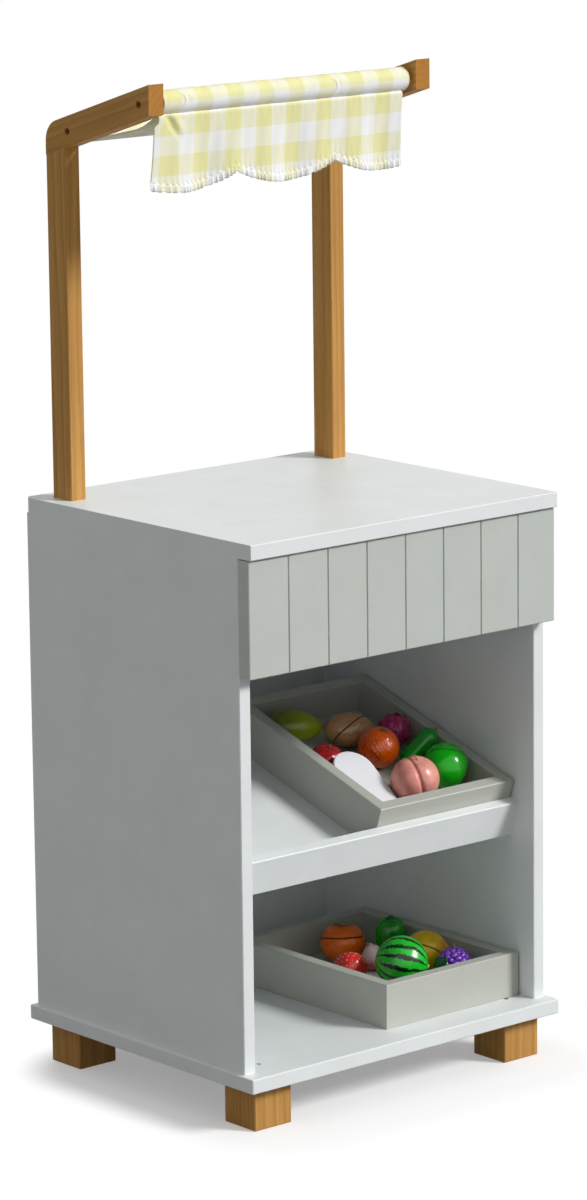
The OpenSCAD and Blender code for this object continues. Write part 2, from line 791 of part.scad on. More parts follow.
// Roof cloth, from where it leaves the underside of the rear sleeve to just behind the valance
roof_nu = 24;
roof_nv = 16;
roof_pull = 1.5;
roof_pulls = 2.5;
roof_x = arm_inner - sleeve_end;
roof_hang = sleeve_d / 2 + cloth_ease;
roof_y0 = rear_rod_y - roof_hang * sin(arm_tilt);
roof_y1 = front_rod_y + cloth_ease;
roof_z0 = rear_rod_z - roof_hang * cos(arm_tilt);
roof_z1 = front_rod_z - roof_hang;
function roof_point(i, j, dz) =
    let (u = 2 * i / roof_nu - 1, v = j / roof_nv,
         sag = roof_sag * sin(180 * v * v) * (0.85 + 0.15 * cos(180 * u)),
         pull = roof_pull * sin(360 * roof_pulls * u) * sin(180 * v))
        [u * roof_x, roof_y0 + (roof_y1 - roof_y0) * v, roof_z0 + (roof_z1 - roof_z0) * v - sag - pull - dz];

module canopy_roof() {
    color(gingham) cloth_sheet(
        [for (j = [0 : roof_nv], i = [0 : roof_nu]) roof_point(i, j, 0)],
        [for (j = [0 : roof_nv], i = [0 : roof_nu]) roof_point(i, j, cloth_t)],
        roof_nu, roof_nv);
}

// Frames of the two trays: children are drawn from the tray's front left corner
module in_lower_tray() {
    translate([tray_x0, front_y + tray_setback, base_top + seat_gap]) children();
}

module in_upper_tray() {
    p = on_slope(seat_gap, seat_gap);
    translate([tray_x0, p[0], p[1]]) rotate([shelf_tilt, 0, 0]) children();
}

// Wall of a tray along X from the origin, mitred at both ends
module tray_wall_piece(length) {
    t = tray_wall;
    c = edge_c;
    intersection() {
        rotate([90, 0, 90]) linear_extrude(length)
            polygon([[0, 0], [t, 0], [t, tray_h - c], [t - c, tray_h], [c, tray_h], [0, tray_h - c]]);
        linear_extrude(tray_h) polygon([[0, 0], [length, 0], [length - t, t], [t, t]]);
    }
}

module tray_front() color(grey_paint) tray_wall_piece(tray_w);

module tray_back() {
    color(grey_paint) translate([tray_w, tray_d, 0]) rotate([0, 0, 180]) tray_wall_piece(tray_w);
}

module tray_left() {
    color(grey_paint) translate([0, tray_d, 0]) rotate([0, 0, -90]) tray_wall_piece(tray_d);
}

module tray_right() {
    color(grey_paint) translate([tray_w, 0, 0]) rotate([0, 0, 90]) tray_wall_piece(tray_d);
}

module tray_floor() {
    color(grey_paint) translate([tray_wall, tray_wall, tray_floor_up])
        cube([tray_in_w, tray_d - 2 * tray_wall, tray_floor_t]);
}

module lower_tray_front() in_lower_tray() tray_front();

module lower_tray_back() in_lower_tray() tray_back();

module lower_tray_left() in_lower_tray() tray_left();

module lower_tray_right() in_lower_tray() tray_right();

module lower_tray_floor() in_lower_tray() tray_floor();

module upper_tray_front() in_upper_tray() tray_front();

module upper_tray_back() in_upper_tray() tray_back();

module upper_tray_left() in_upper_tray() tray_left();

module upper_tray_right() in_upper_tray() tray_right();

module upper_tray_floor() in_upper_tray() tray_floor();

// Food shapes. Each stands on z = 0 unless it says otherwise.
profile_steps = 16;

// Half outline of a round fruit: a circle of diameter d and height h, with a dimple at its top
// that is dip deep, as [radius, height] points from the bottom up
function fruit_outline(d, h, dip = 0) = concat(
    [for (i = [0 : profile_steps])
        let (a = -90 + 180 * i / profile_steps, s = i / profile_steps)
            [max(0, d / 2 * cos(a)), h / 2 + h / 2 * sin(a) - dip * pow(max(0, 2 * s - 1), 6)]]);

module round_fruit(d, h, dip = 0) {
    rotate_extrude() polygon(fruit_outline(d, h, dip));
}

// Long fruit along X, from -l/2 to l/2, with its underside at z = 0. A tip pinches its ends,
// and a lean moves its thick part towards one end.
function long_share(a, lean) = pow(abs(cos(a)), 0.9) * (1 - lean * sin(a));
function long_outline(l, d, tip, lean) =
    let (angles = [for (i = [0 : profile_steps]) -90 + 180 * i / profile_steps],
         widest = max([for (a = angles) long_share(a, lean)]))
        [for (i = [0 : profile_steps])
            let (a = angles[i], end = i == 0 ? -1 : i == profile_steps ? 1 : 0)
                [end == 0 ? d / 2 * long_share(a, lean) / widest : 0, (l / 2 - tip) * sin(a) + end * tip]];

module long_fruit(l, d, tip = 0, lean = 0) {
    translate([0, 0, d / 2]) rotate(along_x) rotate_extrude() polygon(long_outline(l, d, tip, lean));
}

// Everything above or below a plane through height z that is tilted towards the direction turn
module above_plane(z, tilt, turn) {
    translate([0, 0, z]) rotate([0, tilt, turn]) translate([-far / 2, -far / 2, seat_gap / 2])
        cube([far, far, far]);
}

module below_plane(z, tilt, turn) {
    translate([0, 0, z]) rotate([0, tilt, turn]) translate([-far / 2, -far / 2, -far - seat_gap / 2])
        cube([far, far, far]);
}

module in_upper(x, y) in_upper_tray() translate([x, y, tray_deck]) children();

module in_lower(x, y) in_lower_tray() translate([x, y, tray_deck]) children();

// The peach is two round halves that meet in its cleft
peach_cleft = 3;
module peach() {
    r = (peach_d - peach_cleft) / 2;
    color([0.95, 0.58, 0.52]) in_upper(peach_x, peach_y)
        for (sx = [-1, 1]) translate([sx * peach_cleft / 2, 0, r]) rotate(along_x) sphere(r = r);
}

stalk_d = 3.2;
stalk_l = 5;
apple_dip = 4;
apple_cut_tilt = 62;
apple_cut_turn = 54;
// The apple lies on its side: its stalk points to the right and forward
apple_axis_tilt = 101;
apple_axis_turn = -50;
module on_apple_axis() {
    translate([0, 0, apple_d / 2]) rotate([0, apple_axis_tilt, apple_axis_turn]) children();
}

module apple() on_apple_axis() translate([0, 0, -apple_d / 2]) round_fruit(apple_d, apple_d, apple_dip);

module green_apple_lower() {
    color([0.10, 0.68, 0.08]) in_upper(apple_x, apple_y) {
        intersection() {
            apple();
            below_plane(apple_cut * apple_d, apple_cut_tilt, apple_cut_turn);
        }
        on_apple_axis() translate([0, 0, apple_d / 2 - apple_dip - stalk_l / 2])
            cylinder(d = stalk_d, h = stalk_l);
    }
}

module green_apple_upper() {
    color([0.10, 0.68, 0.08]) in_upper(apple_x, apple_y) intersection() {
        apple();
        above_plane(apple_cut * apple_d, apple_cut_tilt, apple_cut_turn);
    }
}

// A small button stands on the orange and the watermelon, tilted from the top towards the direction turn
button_d = 7;
button_h = 3;
module ball_with_button(d, tilt, turn) {
    translate([0, 0, d / 2]) {
        sphere(d = d);
        rotate([0, tilt, turn]) translate([0, 0, d / 2 - 0.7 * button_h])
            cylinder(d = button_d, h = button_h);
    }
}

module orange() {
    color([0.95, 0.42, 0.05]) in_upper(orange_x, orange_y) ball_with_button(orange_d, 0, 0);
}

// Leans from its foot up to the right wall, with round ends a little thicker than its middle
pepper_waist = 1.6;
module green_pepper() {
    color([0.08, 0.50, 0.08]) in_upper(green_pepper_foot, green_pepper_y)
        translate([0, 0, green_pepper_d / 2]) rotate([0, 90 - green_pepper_lean, 0]) {
            sphere(d = green_pepper_d);
            cylinder(d = green_pepper_d - pepper_waist, h = green_pepper_axis);
            translate([0, 0, green_pepper_axis]) sphere(d = green_pepper_d);
        }
}

// Two rings of leaf tips stand out and up from the dragon fruit's body
dragon_scales = 5;
dragon_scale_l = 9;
dragon_scale_d = 9;
dragon_tip_d = 2;
dragon_scale_sink = 4;
dragon_scale_turn = 40;
dragon_rings = [0.38, 0.68];
module dragon_fruit() {
    body = dragon_d - 2 * dragon_scale_l / 3;
    color([0.75, 0.12, 0.42]) in_upper(dragon_x, dragon_y) {
        round_fruit(body, 1.1 * body);
        for (k = [0, 1], i = [0 : dragon_scales - 1])
            rotate([0, 0, 360 * (i + k / 2) / dragon_scales])
                translate([body / 2 - dragon_scale_sink, 0, body * dragon_rings[k]])
                    rotate([0, dragon_scale_turn, 0])
                        cylinder(d1 = dragon_scale_d, d2 = dragon_tip_d, h = dragon_scale_l);
    }
}

kiwi_cut = 0.55;
kiwi_cut_turn = 109;
module kiwi() rotate([0, 0, kiwi_turn]) long_fruit(kiwi_l, kiwi_d);

module kiwi_lower() {
    color([0.62, 0.46, 0.26]) in_upper(kiwi_x, kiwi_y) intersection() {
        kiwi();
        below_plane(kiwi_d * kiwi_cut, kiwi_cut_tilt, kiwi_cut_turn);
    }
}

module kiwi_upper() {
    color([0.62, 0.46, 0.26]) in_upper(kiwi_x, kiwi_y) intersection() {
        kiwi();
        above_plane(kiwi_d * kiwi_cut, kiwi_cut_tilt, kiwi_cut_turn);
    }
}

tomato_dip = 4;
tomato_flat = 0.9;
module tomato() {
    h = tomato_d * tomato_flat;
    color([0.80, 0.10, 0.08]) in_upper(tomato_x, tomato_y) {
        round_fruit(tomato_d, h, tomato_dip);
        translate([0, 0, h - tomato_dip - stalk_l / 2]) cylinder(d = stalk_d, h = stalk_l);
    }
}

avocado_lean = 0.22;
module avocado() {
    color([0.55, 0.68, 0.10]) in_upper(avocado_x, avocado_y) rotate([0, 0, avocado_turn])
        long_fruit(avocado_l, avocado_d, 0, avocado_lean);
}

// Flat board with a round far end and a hanging hole
board_hole_d = 9;
module chopping_board() {
    r = board_w / 2;
    color([0.95, 0.95, 0.95]) in_upper(board_x, board_y)
        rotate([board_lean, 0, 0]) difference() {
            union() {
                cube([board_w, board_l - r, board_t]);
                translate([r, board_l - r, 0]) cylinder(r = r, h = board_t);
            }
            translate([r, board_l - r / 2, -over]) cylinder(d = board_hole_d, h = board_t + 2 * over);
        }
}

watermelon_axis_tilt = 109;
watermelon_axis_turn = -41;
module watermelon() {
    color([0.15, 0.72, 0.10]) in_lower(watermelon_x, watermelon_y)
        ball_with_button(watermelon_d, watermelon_axis_tilt, watermelon_axis_turn);
}

strawberry_lean = 0.2;
module strawberry() {
    color([0.85, 0.10, 0.10]) in_lower(strawberry_x, strawberry_y) rotate([0, 0, 90])
        long_fruit(strawberry_l, strawberry_d, 0, strawberry_lean);
}

radish_tip_l = 8;
radish_tip_d = 8;
module radish() {
    color([0.92, 0.80, 0.82]) in_lower(radish_x, radish_y) {
        round_fruit(radish_d, radish_h);
        translate([0, 0, radish_h - radish_tip_l / 4])
            cylinder(d1 = radish_tip_d, d2 = stalk_d, h = radish_tip_l);
    }
}

lemon_tip = 6;
lemon_cut = 0.36;
lemon_cut_tilt = 45;
lemon_cut_turn = 25;
module lemon() rotate([0, 0, lemon_turn]) long_fruit(lemon_l, lemon_d, lemon_tip);

module lemon_lower() {
    color([0.90, 0.72, 0.08]) in_lower(lemon_x, lemon_y) intersection() {
        lemon();
        below_plane(lemon_d * lemon_cut, lemon_cut_tilt, lemon_cut_turn);
    }
}

module lemon_upper() {
    color([0.90, 0.72, 0.08]) in_lower(lemon_x, lemon_y) intersection() {
        lemon();
        above_plane(lemon_d * lemon_cut, lemon_cut_tilt, lemon_cut_turn);
    }
}

// Bunch of grapes in rings of spheres, each ring resting in the one below
// A ring is [grapes, radius and height of their middles in grape diameters]
grape_rings = [[5, 0.74, 0.5], [4, 0.58, 1.15], [1, 0, 1.75]];
ring_turn = 40;
module grapes() {
    color([0.36, 0.10, 0.55]) in_lower(grapes_x, grapes_y) {
        for (g = grape_rings, i = [0 : g[0] - 1])
            rotate([0, 0, 360 * i / g[0] + ring_turn * g[2]]) translate([g[1] * grape_d, 0, g[2] * grape_d])
                sphere(d = grape_d);
        translate([0, 0, grape_d / 2]) cylinder(d = grape_d, h = grape_d);
    }
}

persimmon_dip = 4;
persimmon_cut = 0.64;
persimmon_cut_tilt = 12;
persimmon_cut_turn = 57;
calyx_d = 26;
calyx_h = 4;
module persimmon() round_fruit(persimmon_d, persimmon_h, persimmon_dip);

module persimmon_lower() {
    color([0.88, 0.38, 0.05]) in_lower(persimmon_x, persimmon_y) intersection() {
        persimmon();
        below_plane(persimmon_h * persimmon_cut, persimmon_cut_tilt, persimmon_cut_turn);
    }
}

module persimmon_upper() {
    color([0.88, 0.38, 0.05]) in_lower(persimmon_x, persimmon_y) {
        intersection() {
            persimmon();
            above_plane(persimmon_h * persimmon_cut, persimmon_cut_tilt, persimmon_cut_turn);
        }
        translate([0, 0, persimmon_h - persimmon_dip - 0.7 * calyx_h]) cylinder(d = calyx_d, h = calyx_h);
    }
}

// Four lobes round a core, and a stalk
lobe_share = 0.29;
stub_d = 9;
stub_top_d = 6;
stub_l = 6;
module bell_pepper() {
    lobe = bell_pepper_w * lobe_share;
    out = bell_pepper_w / 2 - lobe;
    h = bell_pepper_h;
    color([0.06, 0.45, 0.08]) in_lower(bell_pepper_x, bell_pepper_y) {
        for (a = [45, 135, 225, 315]) rotate([0, 0, a]) translate([out, 0, 0]) {
            translate([0, 0, lobe]) sphere(r = lobe);
            translate([0, 0, lobe]) cylinder(r = lobe, h = h - 2 * lobe);
            translate([0, 0, h - lobe]) sphere(r = lobe);
        }
        translate([0, 0, lobe]) cylinder(r = out, h = h - 2 * lobe + over);
        translate([0, 0, h - lobe]) cylinder(d1 = stub_d, d2 = stub_top_d, h = lobe + stub_l);
    }
}

base_board();
left_side_panel();
right_side_panel();
back_panel();
counter_top();
plank_fascia();
sloping_shelf();
shelf_lip();
front_left_foot();
front_right_foot();
rear_left_foot();
rear_right_foot();
foot_screws();
base_screws();
back_panel_screws();
board_dowels();
left_post();
right_post();
left_arm();
right_arm();
post_bolts();
frame_dowels();
front_rod();
rear_rod();
rod_screws();
canopy_roof();
front_rod_sleeve();
rear_rod_sleeve();
valance();
valance_frill();
lower_tray_front();
lower_tray_back();
lower_tray_left();
lower_tray_right();
lower_tray_floor();
upper_tray_front();
upper_tray_back();
upper_tray_left();
upper_tray_right();
upper_tray_floor();
peach();
green_apple_lower();
green_apple_upper();
orange();
green_pepper();
dragon_fruit();
kiwi_lower();
kiwi_upper();
tomato();
avocado();
chopping_board();
watermelon();
strawberry();
radish();
lemon_lower();
lemon_upper();
grapes();
persimmon_lower();
persimmon_upper();
bell_pepper();
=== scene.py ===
"""Looks of the toy market stall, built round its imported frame: painted boards, a pine frame, a gingham
awning and moulded play food. Lengths are in metres, and the front faces -Y."""

import json
import math

import bpy
import numpy as np
from mathutils import Euler, Matrix, Vector


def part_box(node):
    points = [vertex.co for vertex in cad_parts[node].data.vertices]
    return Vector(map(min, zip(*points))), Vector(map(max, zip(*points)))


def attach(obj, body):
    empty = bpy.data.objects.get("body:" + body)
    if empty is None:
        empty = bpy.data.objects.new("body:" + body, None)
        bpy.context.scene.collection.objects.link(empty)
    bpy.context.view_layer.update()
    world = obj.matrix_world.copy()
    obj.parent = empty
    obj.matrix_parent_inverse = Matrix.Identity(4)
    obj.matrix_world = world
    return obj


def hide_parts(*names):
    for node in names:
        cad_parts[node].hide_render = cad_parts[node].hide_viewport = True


bl_info = {
    "name": "Toy market stall",
    "version": (1, 0, 0),
    "blender": (4, 5, 0),
    "location": "View3D > Sidebar > Stall",
    "description": "Dresses the frame of a toy market stall with paint, pine, cloth and play food",
    "category": "Object",
}

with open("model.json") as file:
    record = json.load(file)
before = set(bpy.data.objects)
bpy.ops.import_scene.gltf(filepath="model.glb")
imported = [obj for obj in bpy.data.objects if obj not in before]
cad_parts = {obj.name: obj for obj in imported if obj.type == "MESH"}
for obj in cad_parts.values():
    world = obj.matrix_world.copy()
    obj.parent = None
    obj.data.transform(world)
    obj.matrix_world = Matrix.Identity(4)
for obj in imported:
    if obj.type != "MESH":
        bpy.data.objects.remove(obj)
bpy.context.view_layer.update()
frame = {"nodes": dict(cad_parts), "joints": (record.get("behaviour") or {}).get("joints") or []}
MM = 0.001
TURN = 2 * np.pi
WHITE = (1, 1, 1)
# Rows of points times this matrix turn clockwise, seen from above
TURNED_BACK = np.array(Matrix.Rotation(math.radians(20), 3, "Z"))


def linear(red, green, blue):
    """Linear colour of an sRGB colour whose parts run from 0 to 255."""
    c = np.array([red, green, blue]) / 255
    return tuple(float(x) for x in np.where(c <= 0.04045, c / 12.92, ((c + 0.055) / 1.055) ** 2.4))


def colour(name, description, *srgb):
    """Colour property from an sRGB colour."""
    return bpy.props.FloatVectorProperty(
        name=name, description=description, subtype="COLOR", size=3, min=0, max=1, default=linear(*srgb))


def length(name, description, value):
    """Property for a length in metres."""
    return bpy.props.FloatProperty(
        name=name, description=description, default=value, min=0, unit="LENGTH", precision=4)


def number(name, description, value):
    """Property for a plain number."""
    return bpy.props.FloatProperty(name=name, description=description, default=value, min=0)


class StallBoards(bpy.types.PropertyGroup):
    """Finish of the boards and of the pine frame."""
    white: colour("White paint", "Paint of the cabinet's boards", 228, 232, 232)
    grey: colour("Grey paint", "Paint of the plank fascia", 190, 195, 189)
    tray: colour("Tray paint", "Paint of the trays", 184, 186, 177)
    pine_pale: colour("Pale pine", "Early wood of the posts, arms, rods and feet", 208, 160, 92)
    pine_dark: colour("Dark pine", "Late wood of the posts, arms, rods and feet", 170, 116, 56)
    pine_end: colour("Pine end", "End grain of the pine", 176, 112, 44)
    ring: length("Ring spacing", "Distance between two growth rings", 0.0075)
    steel: colour("Steel", "Screws and bolts", 96, 92, 86)


class StallAwning(bpy.types.PropertyGroup):
    """Sizes and colours of the awning's cloth."""
    yellow: colour("Yellow", "Checks where both threads are yellow", 235, 231, 168)
    half: colour("Half tone", "Checks where one thread is yellow", 240, 238, 210)
    white: colour("White", "Checks where both threads are white", 245, 245, 245)
    check: length("Check", "Side of one check", 0.02435)
    column: length("First column", "Left edge of a yellow column, right of the middle", 0.0001)
    ease: length("Ease", "Gap between sewn cloths, and between rod and sleeve", 0.0004)
    drop: length("Drop", "Drop of the valance at its highest points", 0.067)
    scallop_depth: length("Scallop depth", "Depth of a scallop", 0.019)
    scallop_width: length("Scallop width", "Width of a scallop", 0.159)
    scallop_cusp: length("Scallop cusp", "Place of a cusp between scallops, right of the middle", 0.08)
    fold_swing: length("Fold swing", "Swing of the valance's soft folds at its hem", 0.005)
    flare: length("Flare", "How far the lower left corner stands out", 0.005)
    frill_height: length("Frill", "Height of the gathered frill", 0.009)
    frill_swing: length("Frill swing", "Swing of the frill's gathers", 0.0013)
    sag: length("Roof sag", "Sag of the roof between the rods", 0.011)
    side_reach: length("Side reach", "How far the valance's left edge reaches under the arm", 0.0065)


class StallFood(bpy.types.PropertyGroup):
    """Colours of the play food."""
    peach: colour("Peach", "Skin of the peach", 236, 160, 146)
    apple: colour("Apple", "Skin of the green apple", 0, 196, 8)
    orange: colour("Orange", "Peel of the orange", 252, 104, 0)
    pepper: colour("Pepper", "Skin of the peppers", 4, 190, 16)
    dragon: colour("Dragon fruit", "Skin of the dragon fruit", 206, 56, 134)
    kiwi: colour("Kiwi", "Skin of the kiwi", 200, 154, 106)
    tomato: colour("Tomato", "Skin of the tomato", 176, 28, 34)
    avocado: colour("Avocado", "Skin of the avocado", 152, 172, 0)
    board: colour("Chopping board", "Plastic of the chopping board", 236, 236, 240)
    melon: colour("Watermelon", "Rind of the watermelon", 24, 196, 42)
    stripe: colour("Stripe", "Stripes of the watermelon", 3, 34, 10)
    strawberry: colour("Strawberry", "Skin of the strawberry", 228, 42, 40)
    seed: colour("Seed", "Seeds of the strawberry", 244, 206, 150)
    radish: colour("Radish", "Top of the radish", 238, 212, 214)
    radish_low: colour("Radish root", "Lower half of the radish", 228, 104, 118)
    lemon: colour("Lemon", "Peel of the lemon", 250, 204, 14)
    grape: colour("Grape", "Skin of the grapes", 122, 52, 196)
    persimmon: colour("Persimmon", "Skin of the persimmon", 244, 112, 4)
    leaf: colour("Leaf", "Leaves and calyxes", 18, 92, 36)
    stalk: colour("Stalk", "Stalks", 150, 122, 54)
    flesh: colour("Flesh", "Cut faces", 244, 236, 204)


class StallStage(bpy.types.PropertyGroup):
    """Light and camera."""
    sun: number("Sun", "Strength of the soft lamp", 2.75)
    sun_size: bpy.props.FloatProperty(
        name="Sun size", description="Spread of the soft lamp", default=0.3, min=0, subtype="ANGLE")
    ambient: number("Ambient", "Strength of the light from all round", 0.27)
    overhead: number("Overhead", "Strength that the light gains towards the top", 0.22)
    floor: length("Floor", "Radius of the floor", 3.0)
    fade: length("Fade", "Width over which the floor's shade ends", 0.065)
    lens: number("Lens", "Focal length in millimetres on a 36 mm high picture", 145.69)


# Meshes

def make_mesh(name, points, faces, uv=None, uv_faces=None, paint=None):
    """Smooth mesh from an array of points and a list of face arrays. uv holds a point's place on the flat
    cloth, numbered by uv_faces where it differs from the faces, and paint a colour for each point."""
    corners = np.concatenate([f.ravel() for f in faces]).astype(np.int32)
    sizes = np.concatenate([np.full(len(f), f.shape[1]) for f in faces])
    starts = np.concatenate([[0], np.cumsum(sizes)[:-1]]).astype(np.int32)
    mesh = bpy.data.meshes.new(name)
    mesh.vertices.add(len(points))
    mesh.vertices.foreach_set("co", np.asarray(points, np.float32).ravel())
    mesh.loops.add(len(corners))
    mesh.loops.foreach_set("vertex_index", corners)
    mesh.polygons.add(len(starts))
    mesh.polygons.foreach_set("loop_start", starts)
    if uv is not None:
        order = corners if uv_faces is None else uv_faces.ravel()
        mesh.uv_layers.new(name="cut").data.foreach_set("uv", np.asarray(uv, np.float32)[order].ravel())
    if paint is not None:
        layer = mesh.attributes.new("paint", "FLOAT_COLOR", "POINT")
        layer.data.foreach_set("color", np.asarray(paint, np.float32).ravel())
    mesh.polygons.foreach_set("use_smooth", np.ones(len(starts), bool))
    mesh.update(calc_edges=True)
    if mesh.validate():
        raise RuntimeError(f"{name}: its mesh has faults")
    return mesh


def put(name, mesh, material, body, node):
    """Puts a new piece into the scene: it rides on a body, takes a slot's finish and stands for a node, or
    for none where that is None."""
    piece = bpy.data.objects.new(name, mesh)
    bpy.context.scene.collection.objects.link(piece)
    mesh.materials.append(material)
    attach(piece, body)
    if node:
        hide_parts(node)
    return piece


def points_of(node):
    """Points of a CAD node, as an array."""
    mesh = frame["nodes"][node].data
    flat = np.zeros(3 * len(mesh.vertices), np.float32)
    mesh.vertices.foreach_get("co", flat)
    return flat.reshape(-1, 3).astype(float)


def sheet_faces(rows, cols, wrap=False):
    """Quads of a grid of points, facing the side from which its rows run down and its columns run right.
    With wrap, the last row joins the first. The second array numbers the unwrapped grid."""
    grid = np.arange((rows + wrap) * cols).reshape(rows + wrap, cols)
    quads = np.stack([grid[:-1, :-1], grid[1:, :-1], grid[1:, 1:], grid[:-1, 1:]], -1).reshape(-1, 4)
    return quads % (rows * cols), quads


def ball_faces(rows, cols):
    """Faces of a closed ball: the bottom pole, rings of points from the bottom up, and the top pole."""
    ring = np.arange(rows * cols).reshape(rows, cols) + 1
    after = np.roll(ring, -1, axis=1)
    quads = np.stack([ring[:-1], after[:-1], after[1:], ring[1:]], -1).reshape(-1, 4)
    low = np.stack([np.zeros(cols, int), after[0], ring[0]], -1)
    high = np.stack([np.full(cols, rows * cols + 1), ring[-1], after[-1]], -1)
    return [quads, low, high]


def ball(rows, cols):
    """Unit directions of a ball's points: height is minus the cosine of the polar angle."""
    polar = np.pi * np.arange(1, rows + 1)[:, None] / (rows + 1)
    turn = TURN * np.arange(cols)[None] / cols
    flat, high = np.sin(polar), -np.cos(polar)
    ring = np.stack([flat * np.cos(turn), flat * np.sin(turn), high + 0 * turn], -1)
    return np.concatenate([[[0, 0, -1]], ring.reshape(-1, 3), [[0, 0, 1]]])


def unit(vectors):
    """Vectors of length one along the given ones."""
    return vectors / np.linalg.norm(vectors, axis=-1, keepdims=True)


def tube(path, wide, thick, side, cols=10):
    """Closed tube: ellipses carried along a path, wide along side and thick square to it, with both ends
    drawn to a point at the path's ends."""
    path = np.asarray(path, float)
    along = unit(np.gradient(path, axis=0))
    side = np.asarray(side, float)
    a = unit(side - along * (along @ side)[:, None])
    b = np.cross(along, a)
    turn = TURN * np.arange(cols) / cols
    wide, thick = (np.broadcast_to(w, len(path))[:, None, None] for w in (wide, thick))
    ring = path[:, None] + wide * np.cos(turn)[None, :, None] * a[:, None] \
        + thick * np.sin(turn)[None, :, None] * b[:, None]
    points = np.concatenate([path[:1], ring.reshape(-1, 3), path[-1:]])
    return points, ball_faces(len(path), cols)


def round_tube(path, girth, side=(1, 0, 0), cols=10):
    """Closed tube of circles, whose radius is girth, one for all or one for each point of the path."""
    return tube(path, girth, girth, side, cols)


def leaf(foot, out, up, reach, width, lift, droop, thick=0.5 * MM):
    """Pointed leaf: its middle line leaves foot along out, rises by lift and falls by droop times the
    square of the way, and its half width swells and closes like half a sine."""
    s = np.linspace(0, 1, 9)[:, None]
    foot, out, up = (np.asarray(v, float) for v in (foot, out, up))
    path = foot + out * reach * s + up * (lift * s - droop * s * s)
    wide = width / 2 * np.sin(np.pi * (0.16 + 0.84 * s[:, 0])) ** 0.8 + 0.02 * MM
    return tube(path, wide, thick * (1 - 0.7 * s[:, 0]), np.cross(up, out), 8)


def spiral(count):
    """Evenly spread directions on a ball: heights in equal steps, each a golden turn on."""
    k = np.arange(count) + 0.5
    z = 1 - 2 * k / count
    turn = np.pi * (3 - math.sqrt(5)) * k
    r = np.sqrt(1 - z * z)
    return np.stack([r * np.cos(turn), r * np.sin(turn), z], -1)


def pimples(directions, count, width):
    """Height from 0 to 1 of round pimples spread over a ball, each a bell curve of the angle to its middle.
    Each middle is moved a little off its even place."""
    k = np.arange(count)[:, None]
    middles = spiral(count) + 0.9 / math.sqrt(count) * np.sin(k * [12.9, 78.2, 37.7] + [1, 2, 3])
    near = (directions @ unit(middles).T).max(1)
    return np.exp((near - 1) / width ** 2)


def scattered(middles, axes, sizes, rows=5, cols=8):
    """Many small balls in one mesh, each stretched by its sizes along its own three axes."""
    small = ball(rows, cols)
    points = middles[:, None] + np.einsum("pk,mk,mkc->mpc", small, sizes, axes)
    starts = (np.arange(len(middles)) * len(small))[:, None, None]
    faces = [(f[None] + starts).reshape(-1, f.shape[1]) for f in ball_faces(rows, cols)]
    return points.reshape(-1, 3), faces


def frames_of(normals):
    """For each normal, three axes of which the last is the normal."""
    helper = np.where(np.abs(normals[:, 2:]) < 0.9, [[0.0, 0.0, 1.0]], [[1.0, 0.0, 0.0]])
    a = unit(np.cross(helper, normals))
    return np.stack([a, np.cross(normals, a), normals], 1)


def joined(*parts):
    """One mesh's points, faces and paint from several (points, faces, colour) parts, where the colour is
    one for the part or one for each point."""
    points, faces, paint, start = [], [], [], 0
    for p, f, c in parts:
        points.append(p)
        faces += [g + start for g in f]
        c = np.broadcast_to(np.asarray(c, float), (len(p), 3))
        paint.append(np.concatenate([c, np.ones((len(p), 1))], 1))
        start += len(p)
    return np.concatenate(points), faces, np.concatenate(paint)


def blended(a, b, share):
    """Colour between a and b for each point."""
    share = np.clip(share, 0, 1)[:, None]
    return np.asarray(a) * (1 - share) + np.asarray(b) * share


def step(low, high, x):
    """Smooth step from 0 at low to 1 at high."""
    t = np.clip((x - low) / (high - low), 0, 1)
    return t * t * (3 - 2 * t)


# Materials

